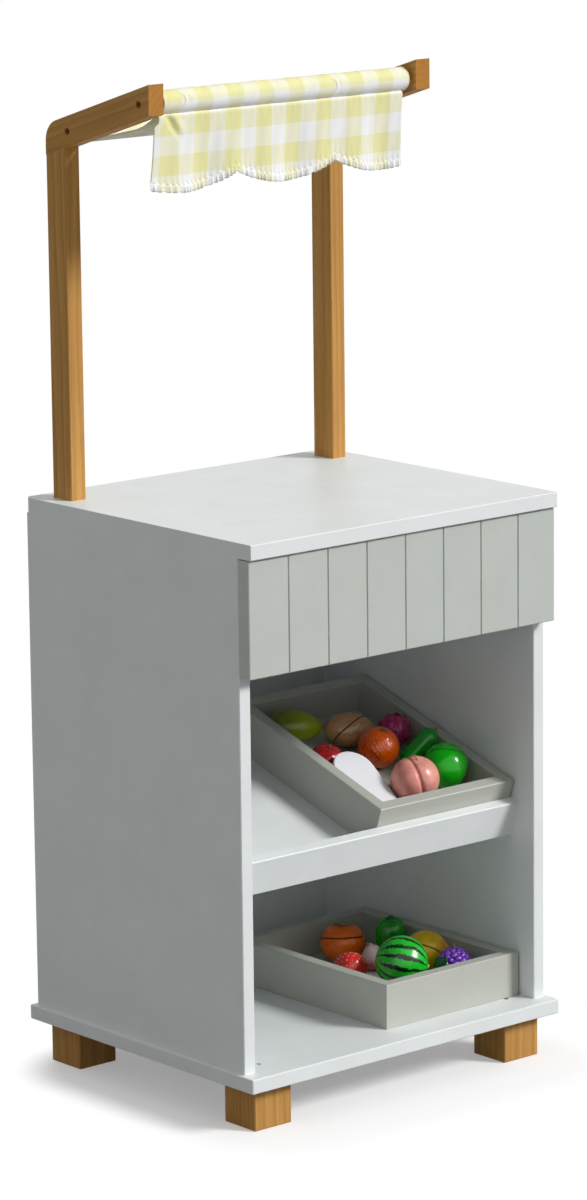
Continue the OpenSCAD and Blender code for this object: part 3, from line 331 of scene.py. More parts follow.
class Nodes:
    """Node tree of one material, or of the world. A value given to an input may be a number, a colour or a
    socket to link."""

    def __init__(self, name, world=False):
        self.owner = (bpy.data.worlds if world else bpy.data.materials).new(name)
        self.owner.use_nodes = True
        self.tree = self.owner.node_tree
        self.tree.nodes.clear()
        self.out = self.add("ShaderNodeOutputWorld" if world else "ShaderNodeOutputMaterial")

    def set(self, socket, value):
        if isinstance(value, bpy.types.NodeSocket):
            self.tree.links.new(value, socket)
        elif socket.type == "RGBA" and len(value) == 3:
            socket.default_value = (*value, 1)
        else:
            socket.default_value = value

    def add(self, kind, inputs=(), **settings):
        node = self.tree.nodes.new(kind)
        for key, value in settings.items():
            setattr(node, key, value)
        for key, value in dict(inputs).items():
            self.set(node.inputs[key], value)
        return node

    def coords(self, which="Object"):
        return self.add("ShaderNodeTexCoord").outputs[which]

    def moved(self, vector, **inputs):
        return self.add("ShaderNodeMapping", {"Vector": vector, **inputs}).outputs[0]

    def noise(self, vector, scale, detail=2.0, rough=0.5):
        return self.add("ShaderNodeTexNoise", {
            "Vector": vector, "Scale": scale, "Detail": detail, "Roughness": rough}).outputs[0]

    def math(self, operation, a, b=0.0):
        return self.add("ShaderNodeMath", {0: a, 1: b}, operation=operation).outputs[0]

    def spread(self, value, low, high, to_low=0.0, to_high=1.0, kind="LINEAR"):
        return self.add("ShaderNodeMapRange", {
            "Value": value, "From Min": low, "From Max": high, "To Min": to_low, "To Max": to_high},
            interpolation_type=kind).outputs[0]

    def vector(self, operation, a, **inputs):
        """First output of a vector operation: b is its second vector and Scale its factor."""
        values = {1 if key == "b" else key: value for key, value in inputs.items()}
        return self.add("ShaderNodeVectorMath", {0: a, **values}, operation=operation).outputs[0]

    def mix(self, factor, a, b):
        node = self.add("ShaderNodeMix", data_type="RGBA")
        for index, value in ((0, factor), (6, a), (7, b)):
            self.set(node.inputs[index], value)
        return node.outputs[2]

    def bump(self, height, distance, strength=1.0):
        return self.add("ShaderNodeBump", {
            "Height": height, "Distance": distance, "Strength": strength}).outputs[0]

    def shader(self, kind, **inputs):
        """Output of a shader. Its inputs are written with underscores for spaces."""
        return self.add(kind, {key.replace("_", " "): value for key, value in inputs.items()}).outputs[0]

    def choice(self, factor, a, b):
        return self.add("ShaderNodeMixShader", {0: factor, 1: a, 2: b}).outputs[0]

    def seen(self):
        """1 for rays from the camera, mirrored rays and rays through glass."""
        path = self.add("ShaderNodeLightPath").outputs
        first = self.math("MAXIMUM", path["Is Camera Ray"], path["Is Glossy Ray"])
        return self.math("MAXIMUM", first, path["Is Transmission Ray"])

    def close(self, shader):
        """Leads a shader to the tree's output and returns the material or the world."""
        self.tree.links.new(shader, self.out.inputs[0])
        return self.owner

    def finish(self, **inputs):
        return self.close(self.shader("ShaderNodeBsdfPrincipled", **inputs))


def tinted(rgb, factor):
    """Colour made darker or lighter by a factor."""
    return tuple(min(1.0, c * factor) for c in rgb)


def painted_board(name, rgb):
    """Satin paint on fibreboard: slow mottling, faint roller marks and a fine orange peel."""
    n = Nodes(name)
    where = n.coords()
    mottle = n.spread(n.noise(where, 14, 4, 0.6), 0.3, 0.7)
    peel = n.noise(where, 700, 2)
    rub = n.noise(n.moved(where, Scale=(60, 60, 7)), 3, 3)
    return n.finish(
        Base_Color=n.mix(mottle, tinted(rgb, 0.965), tinted(rgb, 1.02)),
        Roughness=n.spread(rub, 0.3, 0.7, 0.4, 0.52),
        Specular_IOR_Level=0.4,
        Normal=n.bump(peel, 0.0001, 0.22))


def timber(name, turn, middle, pith, pale, dark, end, ring):
    """Oiled pine: growth rings round a pith beside the piece, swayed by slow noise, and fine fibres drawn
    out along the grain, with a darker tone where the surface cuts across it. turn lays the grain along Z,
    and pith is its place from the piece's middle."""
    n = Nodes(name)
    at = Euler(turn, "XYZ").to_matrix()
    place = -(at @ Vector(middle)) - Vector((*pith, 0))
    where = n.moved(n.coords(), Rotation=turn, Location=tuple(place))
    slow_noise = n.add("ShaderNodeTexNoise", {
        "Vector": n.moved(where, Scale=(14, 14, 1.6)), "Scale": 1.0, "Detail": 2.0})
    sway = n.vector("SUBTRACT", slow_noise.outputs["Color"], b=(0.5, 0.5, 0.5))
    bent = n.vector("ADD", where, b=n.vector("SCALE", sway, Scale=0.022))
    rings = n.add("ShaderNodeTexWave", {
        "Vector": bent, "Scale": TURN / (20 * ring), "Distortion": 0.6, "Detail": 2.0, "Detail Scale": 1.5},
        wave_type="RINGS", rings_direction="Z", wave_profile="SAW").outputs["Fac"]
    late = n.math("POWER", rings, 2.2)
    fibre = n.noise(n.moved(where, Scale=(1, 1, 0.018)), 1100, 3, 0.6)
    streak = n.noise(n.moved(where, Scale=(1, 1, 0.03)), 160, 2, 0.5)
    slow = n.noise(n.moved(where, Scale=(1, 1, 0.15)), 22, 2)
    tone = n.mix(n.math("MULTIPLY", late, 0.6), pale, dark)
    tone = n.mix(n.spread(slow, 0.35, 0.7, 0.0, 0.4), tone, dark)
    tone = n.mix(n.spread(streak, 0.45, 0.75, 0.0, 0.35), tone, tinted(dark, 0.9))
    tone = n.mix(n.spread(fibre, 0.5, 0.8, 0.0, 0.4), tone, tinted(dark, 0.72))
    grain = tuple(at.transposed() @ Vector((0, 0, 1)))
    across = n.add("ShaderNodeVectorMath", {0: n.coords("Normal"), 1: grain},
                   operation="DOT_PRODUCT").outputs["Value"]
    tone = n.mix(n.spread(n.math("ABSOLUTE", across), 0.75, 0.95, 0.0, 0.6), tone, end)
    return n.finish(
        Base_Color=tone,
        Roughness=n.spread(fibre, 0.3, 0.7, 0.55, 0.7),
        Specular_IOR_Level=0.12,
        Normal=n.bump(n.math("ADD", fibre, n.math("MULTIPLY", late, 0.5)), 0.0002, 0.3))


def brushed_steel(name, rgb):
    """Zinc plated steel: dark, with fine turning marks."""
    n = Nodes(name)
    mark = n.noise(n.moved(n.coords(), Scale=(1, 1, 6)), 900, 2)
    return n.finish(
        Base_Color=n.mix(mark, tinted(rgb, 0.6), tinted(rgb, 1.2)), Metallic=0.9,
        Roughness=n.spread(mark, 0.3, 0.7, 0.28, 0.45), Normal=n.bump(mark, 0.0001, 0.2))


def gingham(name, props):
    """Woven cotton on the cloth's own flat place in metres: stripes of yellow threads both ways make full,
    half and white checks, and the two thread sets give the weave."""
    n = Nodes(name)
    cut = n.add("ShaderNodeSeparateXYZ", {0: n.coords("UV")})
    soft, thread = 0.6 * MM, 0.4 * MM
    shares = []
    for axis in (0, 1):
        fold = n.math("PINGPONG", cut.outputs[axis], props.check)
        shares.append(n.spread(fold, props.check / 2 - soft, props.check / 2 + soft))
    level = n.math("ADD", *shares)
    tone = n.mix(n.spread(level, 0, 1), props.white[:], props.half[:])
    tone = n.mix(n.spread(level, 1, 2), tone, props.yellow[:])
    threads = [n.spread(n.math("PINGPONG", cut.outputs[axis], thread), 0, thread) for axis in (0, 1)]
    weave = n.math("MULTIPLY", *threads)
    slub = n.noise(n.moved(n.coords("UV"), Scale=(60, 700, 1)), 1, 3, 0.6)
    tone = n.mix(n.spread(slub, 0.4, 0.75, 0.0, 0.10), tone, props.half[:])
    return n.finish(
        Base_Color=tone, Roughness=0.86, Specular_IOR_Level=0.2, Sheen_Weight=0.15, Sheen_Roughness=0.5,
        Normal=n.bump(n.math("ADD", weave, slub), 0.0002, 0.25))


def plastic(name, rough=0.24, grain=260, depth=0.12, coat=0.22):
    """Glossy moulded plastic in its painted colours, with faint clouding and a soft moulded grain."""
    n = Nodes(name)
    where = n.coords()
    paint = n.add("ShaderNodeAttribute", attribute_name="paint").outputs["Color"]
    cloud = n.spread(n.noise(where, 90, 3), 0.3, 0.7, 0.0, 1.0)
    shade = n.add("ShaderNodeHueSaturation", {"Color": paint, "Value": 0.88})
    light = n.add("ShaderNodeHueSaturation", {"Color": paint, "Value": 1.06})
    return n.finish(
        Base_Color=n.mix(cloud, shade.outputs[0], light.outputs[0]),
        Roughness=n.spread(cloud, 0, 1, rough, rough + 0.1),
        Specular_IOR_Level=0.4, Coat_Weight=coat, Coat_Roughness=0.12,
        Normal=n.bump(n.noise(where, grain, 2), 0.0004, depth))


def striped_rind(name, props):
    """Watermelon rind on its own map, where u is the turn about the axis and v the way along it: dark
    bands whose middle wanders and whose ragged width swells at the middle and closes at the ends."""
    n = Nodes(name)
    where = n.coords()
    cut = n.add("ShaderNodeSeparateXYZ", {0: n.coords("UV")})
    wander = n.math("MULTIPLY", n.math("SUBTRACT", n.noise(where, 45, 2), 0.5), 0.6)
    ragged = n.math("MULTIPLY", n.math("SUBTRACT", n.noise(where, 300, 3, 0.7), 0.5), 0.55)
    turn = n.math("ADD", n.math("MULTIPLY", cut.outputs[0], 14.0), wander)
    off = n.math("ADD", n.math("PINGPONG", turn, 0.5), ragged)
    swell = n.math("MULTIPLY", n.math("SINE", n.math("MULTIPLY", cut.outputs[1], math.pi)), 0.2)
    band = n.spread(n.math("SUBTRACT", off, swell), -0.02, 0.02, 1.0, 0.0)
    cloud = n.noise(where, 120, 3)
    rind = n.mix(cloud, tinted(props.melon, 0.8), tinted(props.melon, 1.1))
    return n.finish(
        Base_Color=n.mix(band, rind, props.stripe[:]),
        Roughness=n.spread(cloud, 0.3, 0.7, 0.2, 0.3), Coat_Weight=0.25, Coat_Roughness=0.1,
        Normal=n.bump(n.noise(where, 300, 2), 0.0003, 0.1))


# Places in the trays

def seat(*nodes):
    """Tray frame of a piece of food: the middle of its underside, the tray's three axes (right, back and up
    out of the tray) and its size along them."""
    joint = next(j for j in frame["joints"] if j["child"] == nodes[0])
    up = np.array(joint["axis"], float)
    right = np.array([1.0, 0.0, 0.0])
    axes = np.stack([right, np.cross(up, right), up])
    local = np.concatenate([points_of(n) for n in nodes]) @ axes.T
    low, high = local.min(0), local.max(0)
    return np.array([*(low + high)[:2] / 2, low[2]]) @ axes, axes, high - low


def mould(node, place, parts, material):
    """Piece of play food from its parts, made in its tray's axes and put at its place."""
    origin, axes, _ = place
    points, faces, paint = joined(*parts)
    mesh = make_mesh(node, origin + points @ axes, faces, paint=paint)
    return put(f"{node}_moulding", mesh, material, node, node)


def star(count, middle, reach, width, lift, droop, turn=0.0, thick=0.7 * MM):
    """Ring of leaves round an upright axis."""
    out = []
    for k in range(count):
        a = TURN * k / count + turn
        out.append(leaf(middle, (math.cos(a), math.sin(a), 0), (0, 0, 1), reach, width, lift, droop, thick))
    return out


def direction(tilt, turn):
    """Unit direction that is tilted from upright towards the direction turn, both in degrees."""
    t, u = math.radians(tilt), math.radians(turn)
    return np.array([math.sin(t) * math.cos(u), math.sin(t) * math.sin(u), math.cos(t)])


def cut_plane(tilt, turn, share, tall):
    """Normal of a cut that is tilted from flat towards the direction turn, and its height over the fruit's
    middle, where it meets the upright axis at a share of the fruit's height."""
    return direction(tilt, turn), (share - 0.5) * tall * math.cos(math.radians(tilt))


def cut_part(radius, normal, height, side, gap, rows=44, cols=88, edge=0.9 * MM):
    """One part of a fruit that a flat cut divides. radius gives the fruit's form for directions from its
    middle. The rings go round the cut's normal: over the flat face from its middle out, round a small
    edge, and over the skin to the pole, where each polar angle of the edge is found by halving.
    Returns the points, the faces, each point's share of flesh and each point's share of the edge ring that is
    painted dark, as painted shade in the groove between the two parts."""
    m = side * np.asarray(normal, float)
    level = side * height + gap / 2
    a, b, _ = frames_of(m[None])[0]
    turn = TURN * np.arange(cols) / cols
    flat = np.cos(turn)[:, None] * a + np.sin(turn)[:, None] * b

    def skin(polar):
        d = np.cos(polar)[..., None] * m + np.sin(polar)[..., None] * flat
        return radius(d.reshape(-1, 3)).reshape(polar.shape)[..., None] * d

    def polar_at(z):
        low, high = np.zeros(cols), np.full(cols, np.pi)
        for _ in range(36):
            mid = (low + high) / 2
            above = skin(mid) @ m > z
            low, high = np.where(above, mid, low), np.where(above, high, mid)
        return low

    rim = skin(polar_at(level))
    axis = level * m
    reach = np.linalg.norm(rim - axis, axis=1, keepdims=True)
    face = [axis + (rim - axis) * s for s in (0.3, 0.6, 0.85)]
    face += [axis + (rim - axis) * (1 - inset * edge / reach) for inset in (2.4, 1.9, 0.9)]
    top = polar_at(level + edge)
    share = np.linspace(1, 1 / rows, rows)[:, None]
    rings = np.concatenate([np.stack(face), skin(share * top[None])])
    flesh = np.concatenate([[1], np.repeat(np.r_[np.ones(4), np.zeros(rows + 2)], cols), [0]])
    # dark paints the cut face's rim and the first skin ring dark: painted shade in the groove between the two
    # parts
    dark = np.concatenate([[0], np.repeat(np.r_[np.zeros(4), 1, 1, 0.35, np.zeros(rows - 1)], cols), [0]])
    pole = radius(m[None])[0] * m
    points = np.concatenate([[axis], rings.reshape(-1, 3), [pole]])
    return points, ball_faces(rows + 6, cols), flesh, dark


# Steps

class StallStep:
    """What the steps share."""
    bl_options = {"REGISTER", "UNDO"}


class STALL_OT_stage(StallStep, bpy.types.Operator):
    """Camera at the photograph's angle, soft lamp, white surround and pale floor"""
    bl_idname = "stall.stage"
    bl_label = "Stage"

    def execute(self, context):
        props, scene = context.scene.stall_stage, context.scene
        scene.view_settings.view_transform = "Standard"
        self.camera(scene, props)
        lamp = bpy.data.lights.new("soft_lamp", "SUN")
        lamp.energy, lamp.angle = props.sun, props.sun_size
        sun = bpy.data.objects.new("soft_lamp", lamp)
        towards_sun = Vector((0.48, -0.69, 0.54))
        sun.rotation_euler = towards_sun.to_track_quat("Z", "Y").to_euler()
        scene.collection.objects.link(sun)
        self.surround(scene, props)
        self.floor(scene, props)
        return {"FINISHED"}

    def camera(self, scene, props):
        """Camera that was fitted to the stall's corners: it looks ahead along yaw, from +Y towards +X, and
        down by pitch, and leans by roll."""
        stand = (-3.868438, -4.53733, 1.842159)
        yaw, pitch, roll = 0.7066, 0.2058, -0.0115
        ahead = Vector((math.sin(yaw) * math.cos(pitch), math.cos(yaw) * math.cos(pitch), -math.sin(pitch)))
        right = Vector((math.cos(yaw), -math.sin(yaw), 0))
        up = right.cross(ahead)
        x = right * math.cos(roll) + up * math.sin(roll)
        y = up * math.cos(roll) - right * math.sin(roll)
        lens = bpy.data.cameras.new("camera")
        lens.sensor_width, lens.lens, lens.sensor_fit = 36.0, props.lens, "AUTO"
        camera = bpy.data.objects.new("camera", lens)
        camera.matrix_world = Matrix.Translation(stand) @ Matrix((x, y, -ahead)).transposed().to_4x4()
        scene.collection.objects.link(camera)
        scene.camera = camera

    def surround(self, scene, props):
        """White where it is seen, and for the light a grey that brightens towards the top."""
        n = Nodes("white_surround", world=True)
        height = n.add("ShaderNodeSeparateXYZ", {0: n.coords("Generated")}).outputs["Z"]
        rise = n.spread(height, 0.0, 1.0, props.ambient, props.ambient + props.overhead)
        light = n.shader("ShaderNodeBackground", Color=WHITE, Strength=rise)
        white = n.shader("ShaderNodeBackground", Color=WHITE, Strength=1.0)
        scene.world = n.close(n.choice(n.seen(), light, white))

    def floor(self, scene, props):
        """Disc of one ring round its middle, just under the feet. Its shade ends softly at a distance from a
        rectangle inside the base board's outline, so its corners are round."""
        sides, below = 96, 0.2 * MM
        k = np.arange(sides)
        turn = TURN * k / sides
        edge = np.stack([props.floor * np.cos(turn), props.floor * np.sin(turn), 0 * turn], -1)
        points = np.concatenate([[[0, 0, 0]], edge]) - [0, 0, below]
        faces = [np.stack([0 * k, k + 1, (k + 1) % sides + 1], -1)]
        disc = bpy.data.objects.new("floor", make_mesh("floor", points, faces))
        scene.collection.objects.link(disc)
        n = Nodes("pale_floor")
        place = n.add("ShaderNodeSeparateXYZ", {0: n.coords()})
        out = []
        for axis, shift, half in ((0, 0.0, 0.185), (1, 0.04, 0.15)):
            away = n.math("ABSOLUTE", n.math("ADD", place.outputs[axis], shift))
            out.append(n.math("MAXIMUM", n.math("SUBTRACT", away, half), 0.0))
        far = n.math("SQRT", n.math("ADD", n.math("POWER", out[0], 2.0), n.math("POWER", out[1], 2.0)))
        corner = 0.085
        fade = n.spread(far, corner, corner + props.fade, kind="SMOOTHSTEP")
        shade = n.add("ShaderNodeAddShader", {
            0: n.shader("ShaderNodeBsdfDiffuse", Color=(0.78, 0.78, 0.78)),
            1: n.shader("ShaderNodeEmission", Color=WHITE, Strength=0.28)}).outputs[0]
        shown = n.choice(fade, shade, n.shader("ShaderNodeEmission", Color=WHITE, Strength=1.0))
        lit = n.shader("ShaderNodeBsdfDiffuse", Color=(0.3, 0.3, 0.3))
        disc.data.materials.append(n.close(n.choice(n.seen(), lit, shown)))


def dress(nodes, material):
    """Gives a finish to CAD nodes whose shape stays."""
    for node in nodes:
        mesh = frame["nodes"][node].data
        mesh.materials.clear()
        mesh.materials.append(material)


def wall_names(tray):
    """Nodes of a tray's walls and floor."""
    return [f"{tray}_{part}" for part in ("front", "back", "left", "right", "floor")]


class STALL_OT_boards(StallStep, bpy.types.Operator):
    """Paint on the cabinet's boards, the fascia and the trays"""
    bl_idname = "stall.boards"
    bl_label = "Painted boards"

    def execute(self, context):
        props = context.scene.stall_boards
        dress(["base_board", "left_side_panel", "right_side_panel", "back_panel", "counter_top",
               "sloping_shelf", "shelf_lip"], painted_board("white_paint", props.white[:]))
        dress(["plank_fascia"], painted_board("grey_paint", props.grey[:]))
        dress(wall_names("lower_tray") + wall_names("upper_tray"), painted_board("tray_paint", props.tray[:]))
        return {"FINISHED"}


class STALL_OT_timber(StallStep, bpy.types.Operator):
    """Pine for the posts, arms, rods and feet, each with its own grain, and for the dowels"""
    bl_idname = "stall.timber"
    bl_label = "Pine frame"

    def execute(self, context):
        props = context.scene.stall_boards
        upright, across = (0.0, 0.0, 0.0), (0.0, -math.pi / 2, 0.0)
        sloped = (math.radians(-73), 0.0, 0.0)
        grains = {
            "left_post": upright, "right_post": upright, "left_arm": sloped, "right_arm": sloped,
            "front_rod": across, "rear_rod": across, "front_left_foot": upright, "front_right_foot": upright,
            "rear_left_foot": upright, "rear_right_foot": upright, "board_dowels": upright,
            "frame_dowels": upright}
        for k, (node, turn) in enumerate(grains.items()):
            low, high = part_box(node)
            # each piece is cut from another place in its log
            away, round_log = 0.034 + 0.006 * (k % 3), 2.4 * k + 0.7
            pith = (away * math.cos(round_log), away * math.sin(round_log))
            dress([node], timber(f"pine_{node}", turn, (low + high) / 2, pith,
                                 props.pine_pale[:], props.pine_dark[:], props.pine_end[:], props.ring))
        return {"FINISHED"}


class STALL_OT_fittings(StallStep, bpy.types.Operator):
    """Steel for the screws and bolts"""
    bl_idname = "stall.fittings"
    bl_label = "Fittings"

    def execute(self, context):
        dress(["foot_screws", "base_screws", "back_panel_screws", "rod_screws", "post_bolts"],
              brushed_steel("screw_steel", context.scene.stall_boards.steel[:]))
        return {"FINISHED"}


class STALL_OT_awning(StallStep, bpy.types.Operator):
    """Roof, rod sleeves, scalloped valance and gathered frill in gingham cotton"""
    bl_idname = "stall.awning"
    bl_label = "Gingham awning"
    overlap = 2 * MM
    forward = 4.5 * MM  # from the rod's middle forward to the valance's hem

    def execute(self, context):
        self.props = context.scene.stall_awning
        self.cotton = gingham("gingham_cotton", self.props)
        low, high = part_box("valance")
        self.x0, self.x1, self.top = low.x + self.props.flare, high.x, high.z
        self.rods = {side: (sum(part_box(f"{side}_rod"), Vector()) / 2) for side in ("front", "rear")}
        front = self.sleeve("front")
        rear = self.sleeve("rear")
        self.roof(front, rear)
        valance = self.valance(front)
        self.frill(valance)
        return {"FINISHED"}

    def flat_place(self, x, v):
        """Place on the gingham: whole checks from the first yellow column and from the valance's top edge,
        with twenty checks more, so that no place is negative."""
        c = self.props.check
        across, down = x - self.props.column + c / 2, v - c / 2
        return np.stack(np.broadcast_arrays(across + 20 * c, down + 20 * c), -1)

    def cloth(self, name, node, grid, uv, wrap=False, thick=0.9 * MM):
        """Cloth piece from a grid of points, thickened to the back."""
        rows, cols = grid.shape[:2]
        faces, uv_faces = sheet_faces(rows, cols, wrap)
        mesh = make_mesh(name, grid.reshape(-1, 3), [faces], uv.reshape(-1, 2), uv_faces)
        piece = put(name, mesh, self.cotton, "stall", node)
        wall = piece.modifiers.new("thickness", "SOLIDIFY")
        wall.thickness, wall.offset = thick, -1.0
        return piece

    def hem_drop(self, x):
        """Drop of the hem: each scallop is a parabola between two cusps."""
        p = self.props
        f = np.mod((x - p.scallop_cusp) / p.scallop_width, 1)
        return p.drop + p.scallop_depth * (1 - (2 * f - 1) ** 2)

    def swing(self, x):
        """Soft folds along the hem: a wide and a narrow wave."""
        mm = x / MM
        wide = 0.6 * np.sin(np.radians(360 * mm / 150 + 40))
        return self.props.fold_swing * (wide + 0.4 * np.sin(np.radians(360 * mm / 71 + 10)))

    def corner(self, x, v):
        """Flare of the lower left corner, falling off as the square over 40 mm, and the side reach, which the
        edge takes up below the arm."""
        near = np.maximum(0, 1 - (x - self.x0) / (40 * MM)) ** 2
        return -near * (self.props.flare * v ** 2 + self.props.side_reach * step(0.07, 0.15, v))

    def crease(self, x, z):
        """Crease from the left end of the sleeve down and in: a groove and a softer ridge beside it, each a
        bell curve of the distance from its line, that fade at both ends of the line."""
        start, end = np.array([-190 * MM, self.top]), np.array([-170 * MM, self.top - 26 * MM])
        along = unit(end - start)
        way = (x - start[0]) * along[0] + (z - start[1]) * along[1]
        off = (x - start[0]) * along[1] - (z - start[1]) * along[0]
        hold = step(-4 * MM, 4 * MM, way) * step(44 * MM, 14 * MM, way)
        groove = 2.2 * MM * np.exp(-(off / (4 * MM)) ** 2)
        ridge = 1.6 * MM * np.exp(-((off + 7 * MM) / (6 * MM)) ** 2)
        return hold * (groove - ridge)

    def valance(self, sleeve):
        """Hung sheet: x runs along the rod and v down the drop. Its upper rows come out of the sleeve's lower
        front and turn down in a small fold, a parabola, and from there the cloth slants back to the hem. It
        swings by v times the soft folds, flares at its lower left corner, and puckers in short waves where
        the frill gathers it."""
        fold_rows, rows = 8, 57
        x = np.linspace(self.x0, self.x1, 281)[None]
        v = np.r_[np.zeros(fold_rows), np.linspace(0, 1, rows)][:, None]
        fold = np.r_[np.linspace(1, 0, fold_rows + 1), np.zeros(rows - 1)][:, None]
        below, fold_rise, fold_depth, stand = 2.5 * MM, 4.6 * MM, 4.4 * MM, 9.2 * MM
        drop = below + v * (self.hem_drop(x) - below)
        z = self.top - drop + fold_rise * (2 * fold - fold ** 2)
        y = self.rods["front"].y - self.forward - (stand - self.forward) * (1 - v) ** 1.3 \
            + fold_depth * fold ** 2 + v * self.swing(x) + self.crease(x, z)
        pucker = np.sin(TURN * x / (7.9 * MM) + 2 * np.sin(x / (31 * MM)))
        y = y + 0.5 * MM * pucker * np.exp(-(self.hem_drop(x) - drop) / (6 * MM))
        y = y + 0.35 * MM * np.sin(TURN * x / (23 * MM) + 3 * v) * np.sin(np.pi * v)
        gather = np.sin(TURN * x / (11 * MM) + 2 * np.sin(x / (17 * MM)))
        y = y - 0.25 * MM * gather * np.exp(-drop / (6 * MM)) * (1 - fold)
        grid = np.stack(np.broadcast_arrays(x + self.corner(x, v), y, z), -1)
        piece = self.cloth("valance_cloth", "valance", grid, self.flat_place(x, 6.5 * MM * fold - drop))
        return piece

    def frill(self, valance):
        """Gathered strip sewn along the front of the hem: sharp waves that open downwards, fifty in all, with
        a slow change in their spacing and height. It comes out of the valance's cloth and goes on with its
        checks."""
        p = self.props
        x = np.linspace(self.x0, self.x1, 1201)[None]
        j = np.linspace(0, 1, 9)[:, None]
        share = (x - self.x0) / (self.x1 - self.x0)
        phase = TURN * (50 * share + 0.35 * np.sin(TURN * 7.3 * share) + 0.2 * np.sin(TURN * 17 * share))
        wave = np.sin(phase) + 0.25 * np.sin(2 * phase + 1)
        rise = 1 + 0.25 * np.sin(TURN * 11.7 * share + 1)
        tall = p.frill_height + self.overlap
        z = self.top - self.hem_drop(x) + self.overlap - j * tall * (1 - 0.06 * np.cos(phase))
        y = self.rods["front"].y - self.forward + 0.3 * MM - 1.2 * MM * step(0, 0.35, j) + self.swing(x) \
            + p.frill_swing * j ** 1.2 * wave * rise
        grid = np.stack(np.broadcast_arrays(x + self.corner(x, 1.0), y, z), -1)
        piece = self.cloth("frill_cloth", "valance_frill", grid,
                           self.flat_place(x, self.overlap - self.hem_drop(x) - j * tall), thick=0.6 * MM)
        return piece

    def sleeve(self, side):
        """Cloth tube round a rod, from its seam underneath up the front and over: a circle whose radius has
        slow waves along the rod, small gathers at the ends and the seam, and two curved creases."""
        rod = self.rods[side]
        low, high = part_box(f"{side}_rod_sleeve")
        radius = (high.z - low.z) / 2 - 0.5 * MM
        x = np.linspace(low.x, high.x, 321)[None]
        rows, crown, span = 72, 1.75, 0.62  # the creases' middle and reach, in radians round from the seam
        turn = TURN * (1 - np.arange(rows) / rows)[:, None]
        r = radius + 0.25 * MM * np.sin(TURN * x / (57 * MM) + 2 * np.sin(turn)) \
            + 0.18 * MM * np.sin(TURN * x / (19 * MM) + 3 * np.cos(turn) + 1)
        seam = np.exp(-((np.cos(turn) - 1) / 0.12) ** 2)
        r = r + 0.3 * MM * seam * np.sin(TURN * x / (12 * MM))
        for place, bow in ((-172 * MM, 8 * MM), (72 * MM, 6 * MM)):
            middle = place + bow * (1 - ((turn - crown) / 0.8) ** 2)
            hold = np.exp(-((turn - crown) / span) ** 4)
            ridge = 1.7 * MM * np.exp(-((x - middle) / (1.7 * MM)) ** 2)
            groove = 1.0 * MM * np.exp(-((x - middle - 4.5 * MM) / (3 * MM)) ** 2)
            r = r + hold * (ridge - groove)
        grid = np.stack(np.broadcast_arrays(x, rod.y - r * np.sin(turn), rod.z - r * np.cos(turn)), -1)
        unrolled = np.concatenate([turn, [[0.0]]])
        piece = self.cloth(f"{side}_sleeve_cloth", f"{side}_rod_sleeve", grid,
                           self.flat_place(x, radius * unrolled), wrap=True)
        return piece

    def roof(self, front, rear):
        """Sheet between the rods: it leaves the rear sleeve along its underside, sags by the sine of the
        square of the way, is pulled into faint ridges, and ends under the front sleeve behind the valance."""
        p = self.props
        low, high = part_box("canopy_roof")
        ahead, back = self.rods["front"], self.rods["rear"]
        _, sleeve_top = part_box("front_rod_sleeve")
        hang = sleeve_top.z - ahead.z + p.ease
        tilt = math.atan2(ahead.z - back.z, back.y - ahead.y)
        y0, z0 = back.y - hang * math.sin(tilt), back.z - hang * math.cos(tilt)
        y1, z1 = ahead.y + p.ease, ahead.z - hang
        cols = 161
        u = np.linspace(-1, 1, cols)[None]
        v = np.linspace(0, 1, 73)[:, None]
        half = (high.x - low.x) / 2
        sag = p.sag * np.sin(np.pi * v ** 2) * (0.85 + 0.15 * np.cos(np.pi * u))
        pull = 1.5 * MM * np.sin(TURN * 2.5 * u) * np.sin(np.pi * v)
        crease = 0.5 * MM * np.sin(TURN * 9 * u + 4 * v) * np.sin(np.pi * v) ** 2
        x, y = u * half, y0 + (y1 - y0) * v
        z = z0 + (z1 - z0) * v - sag - pull - crease
        grid = np.stack(np.broadcast_arrays(x, y, z), -1)
        row = np.linalg.norm(np.diff(grid[:, cols // 2], axis=0), axis=1)
        way = np.r_[0, np.cumsum(row)][:, None]
        piece = self.cloth("roof_cloth", "canopy_roof", grid[:, ::-1],
                           self.flat_place(x[:, ::-1], way - way[-1]))
        return piece


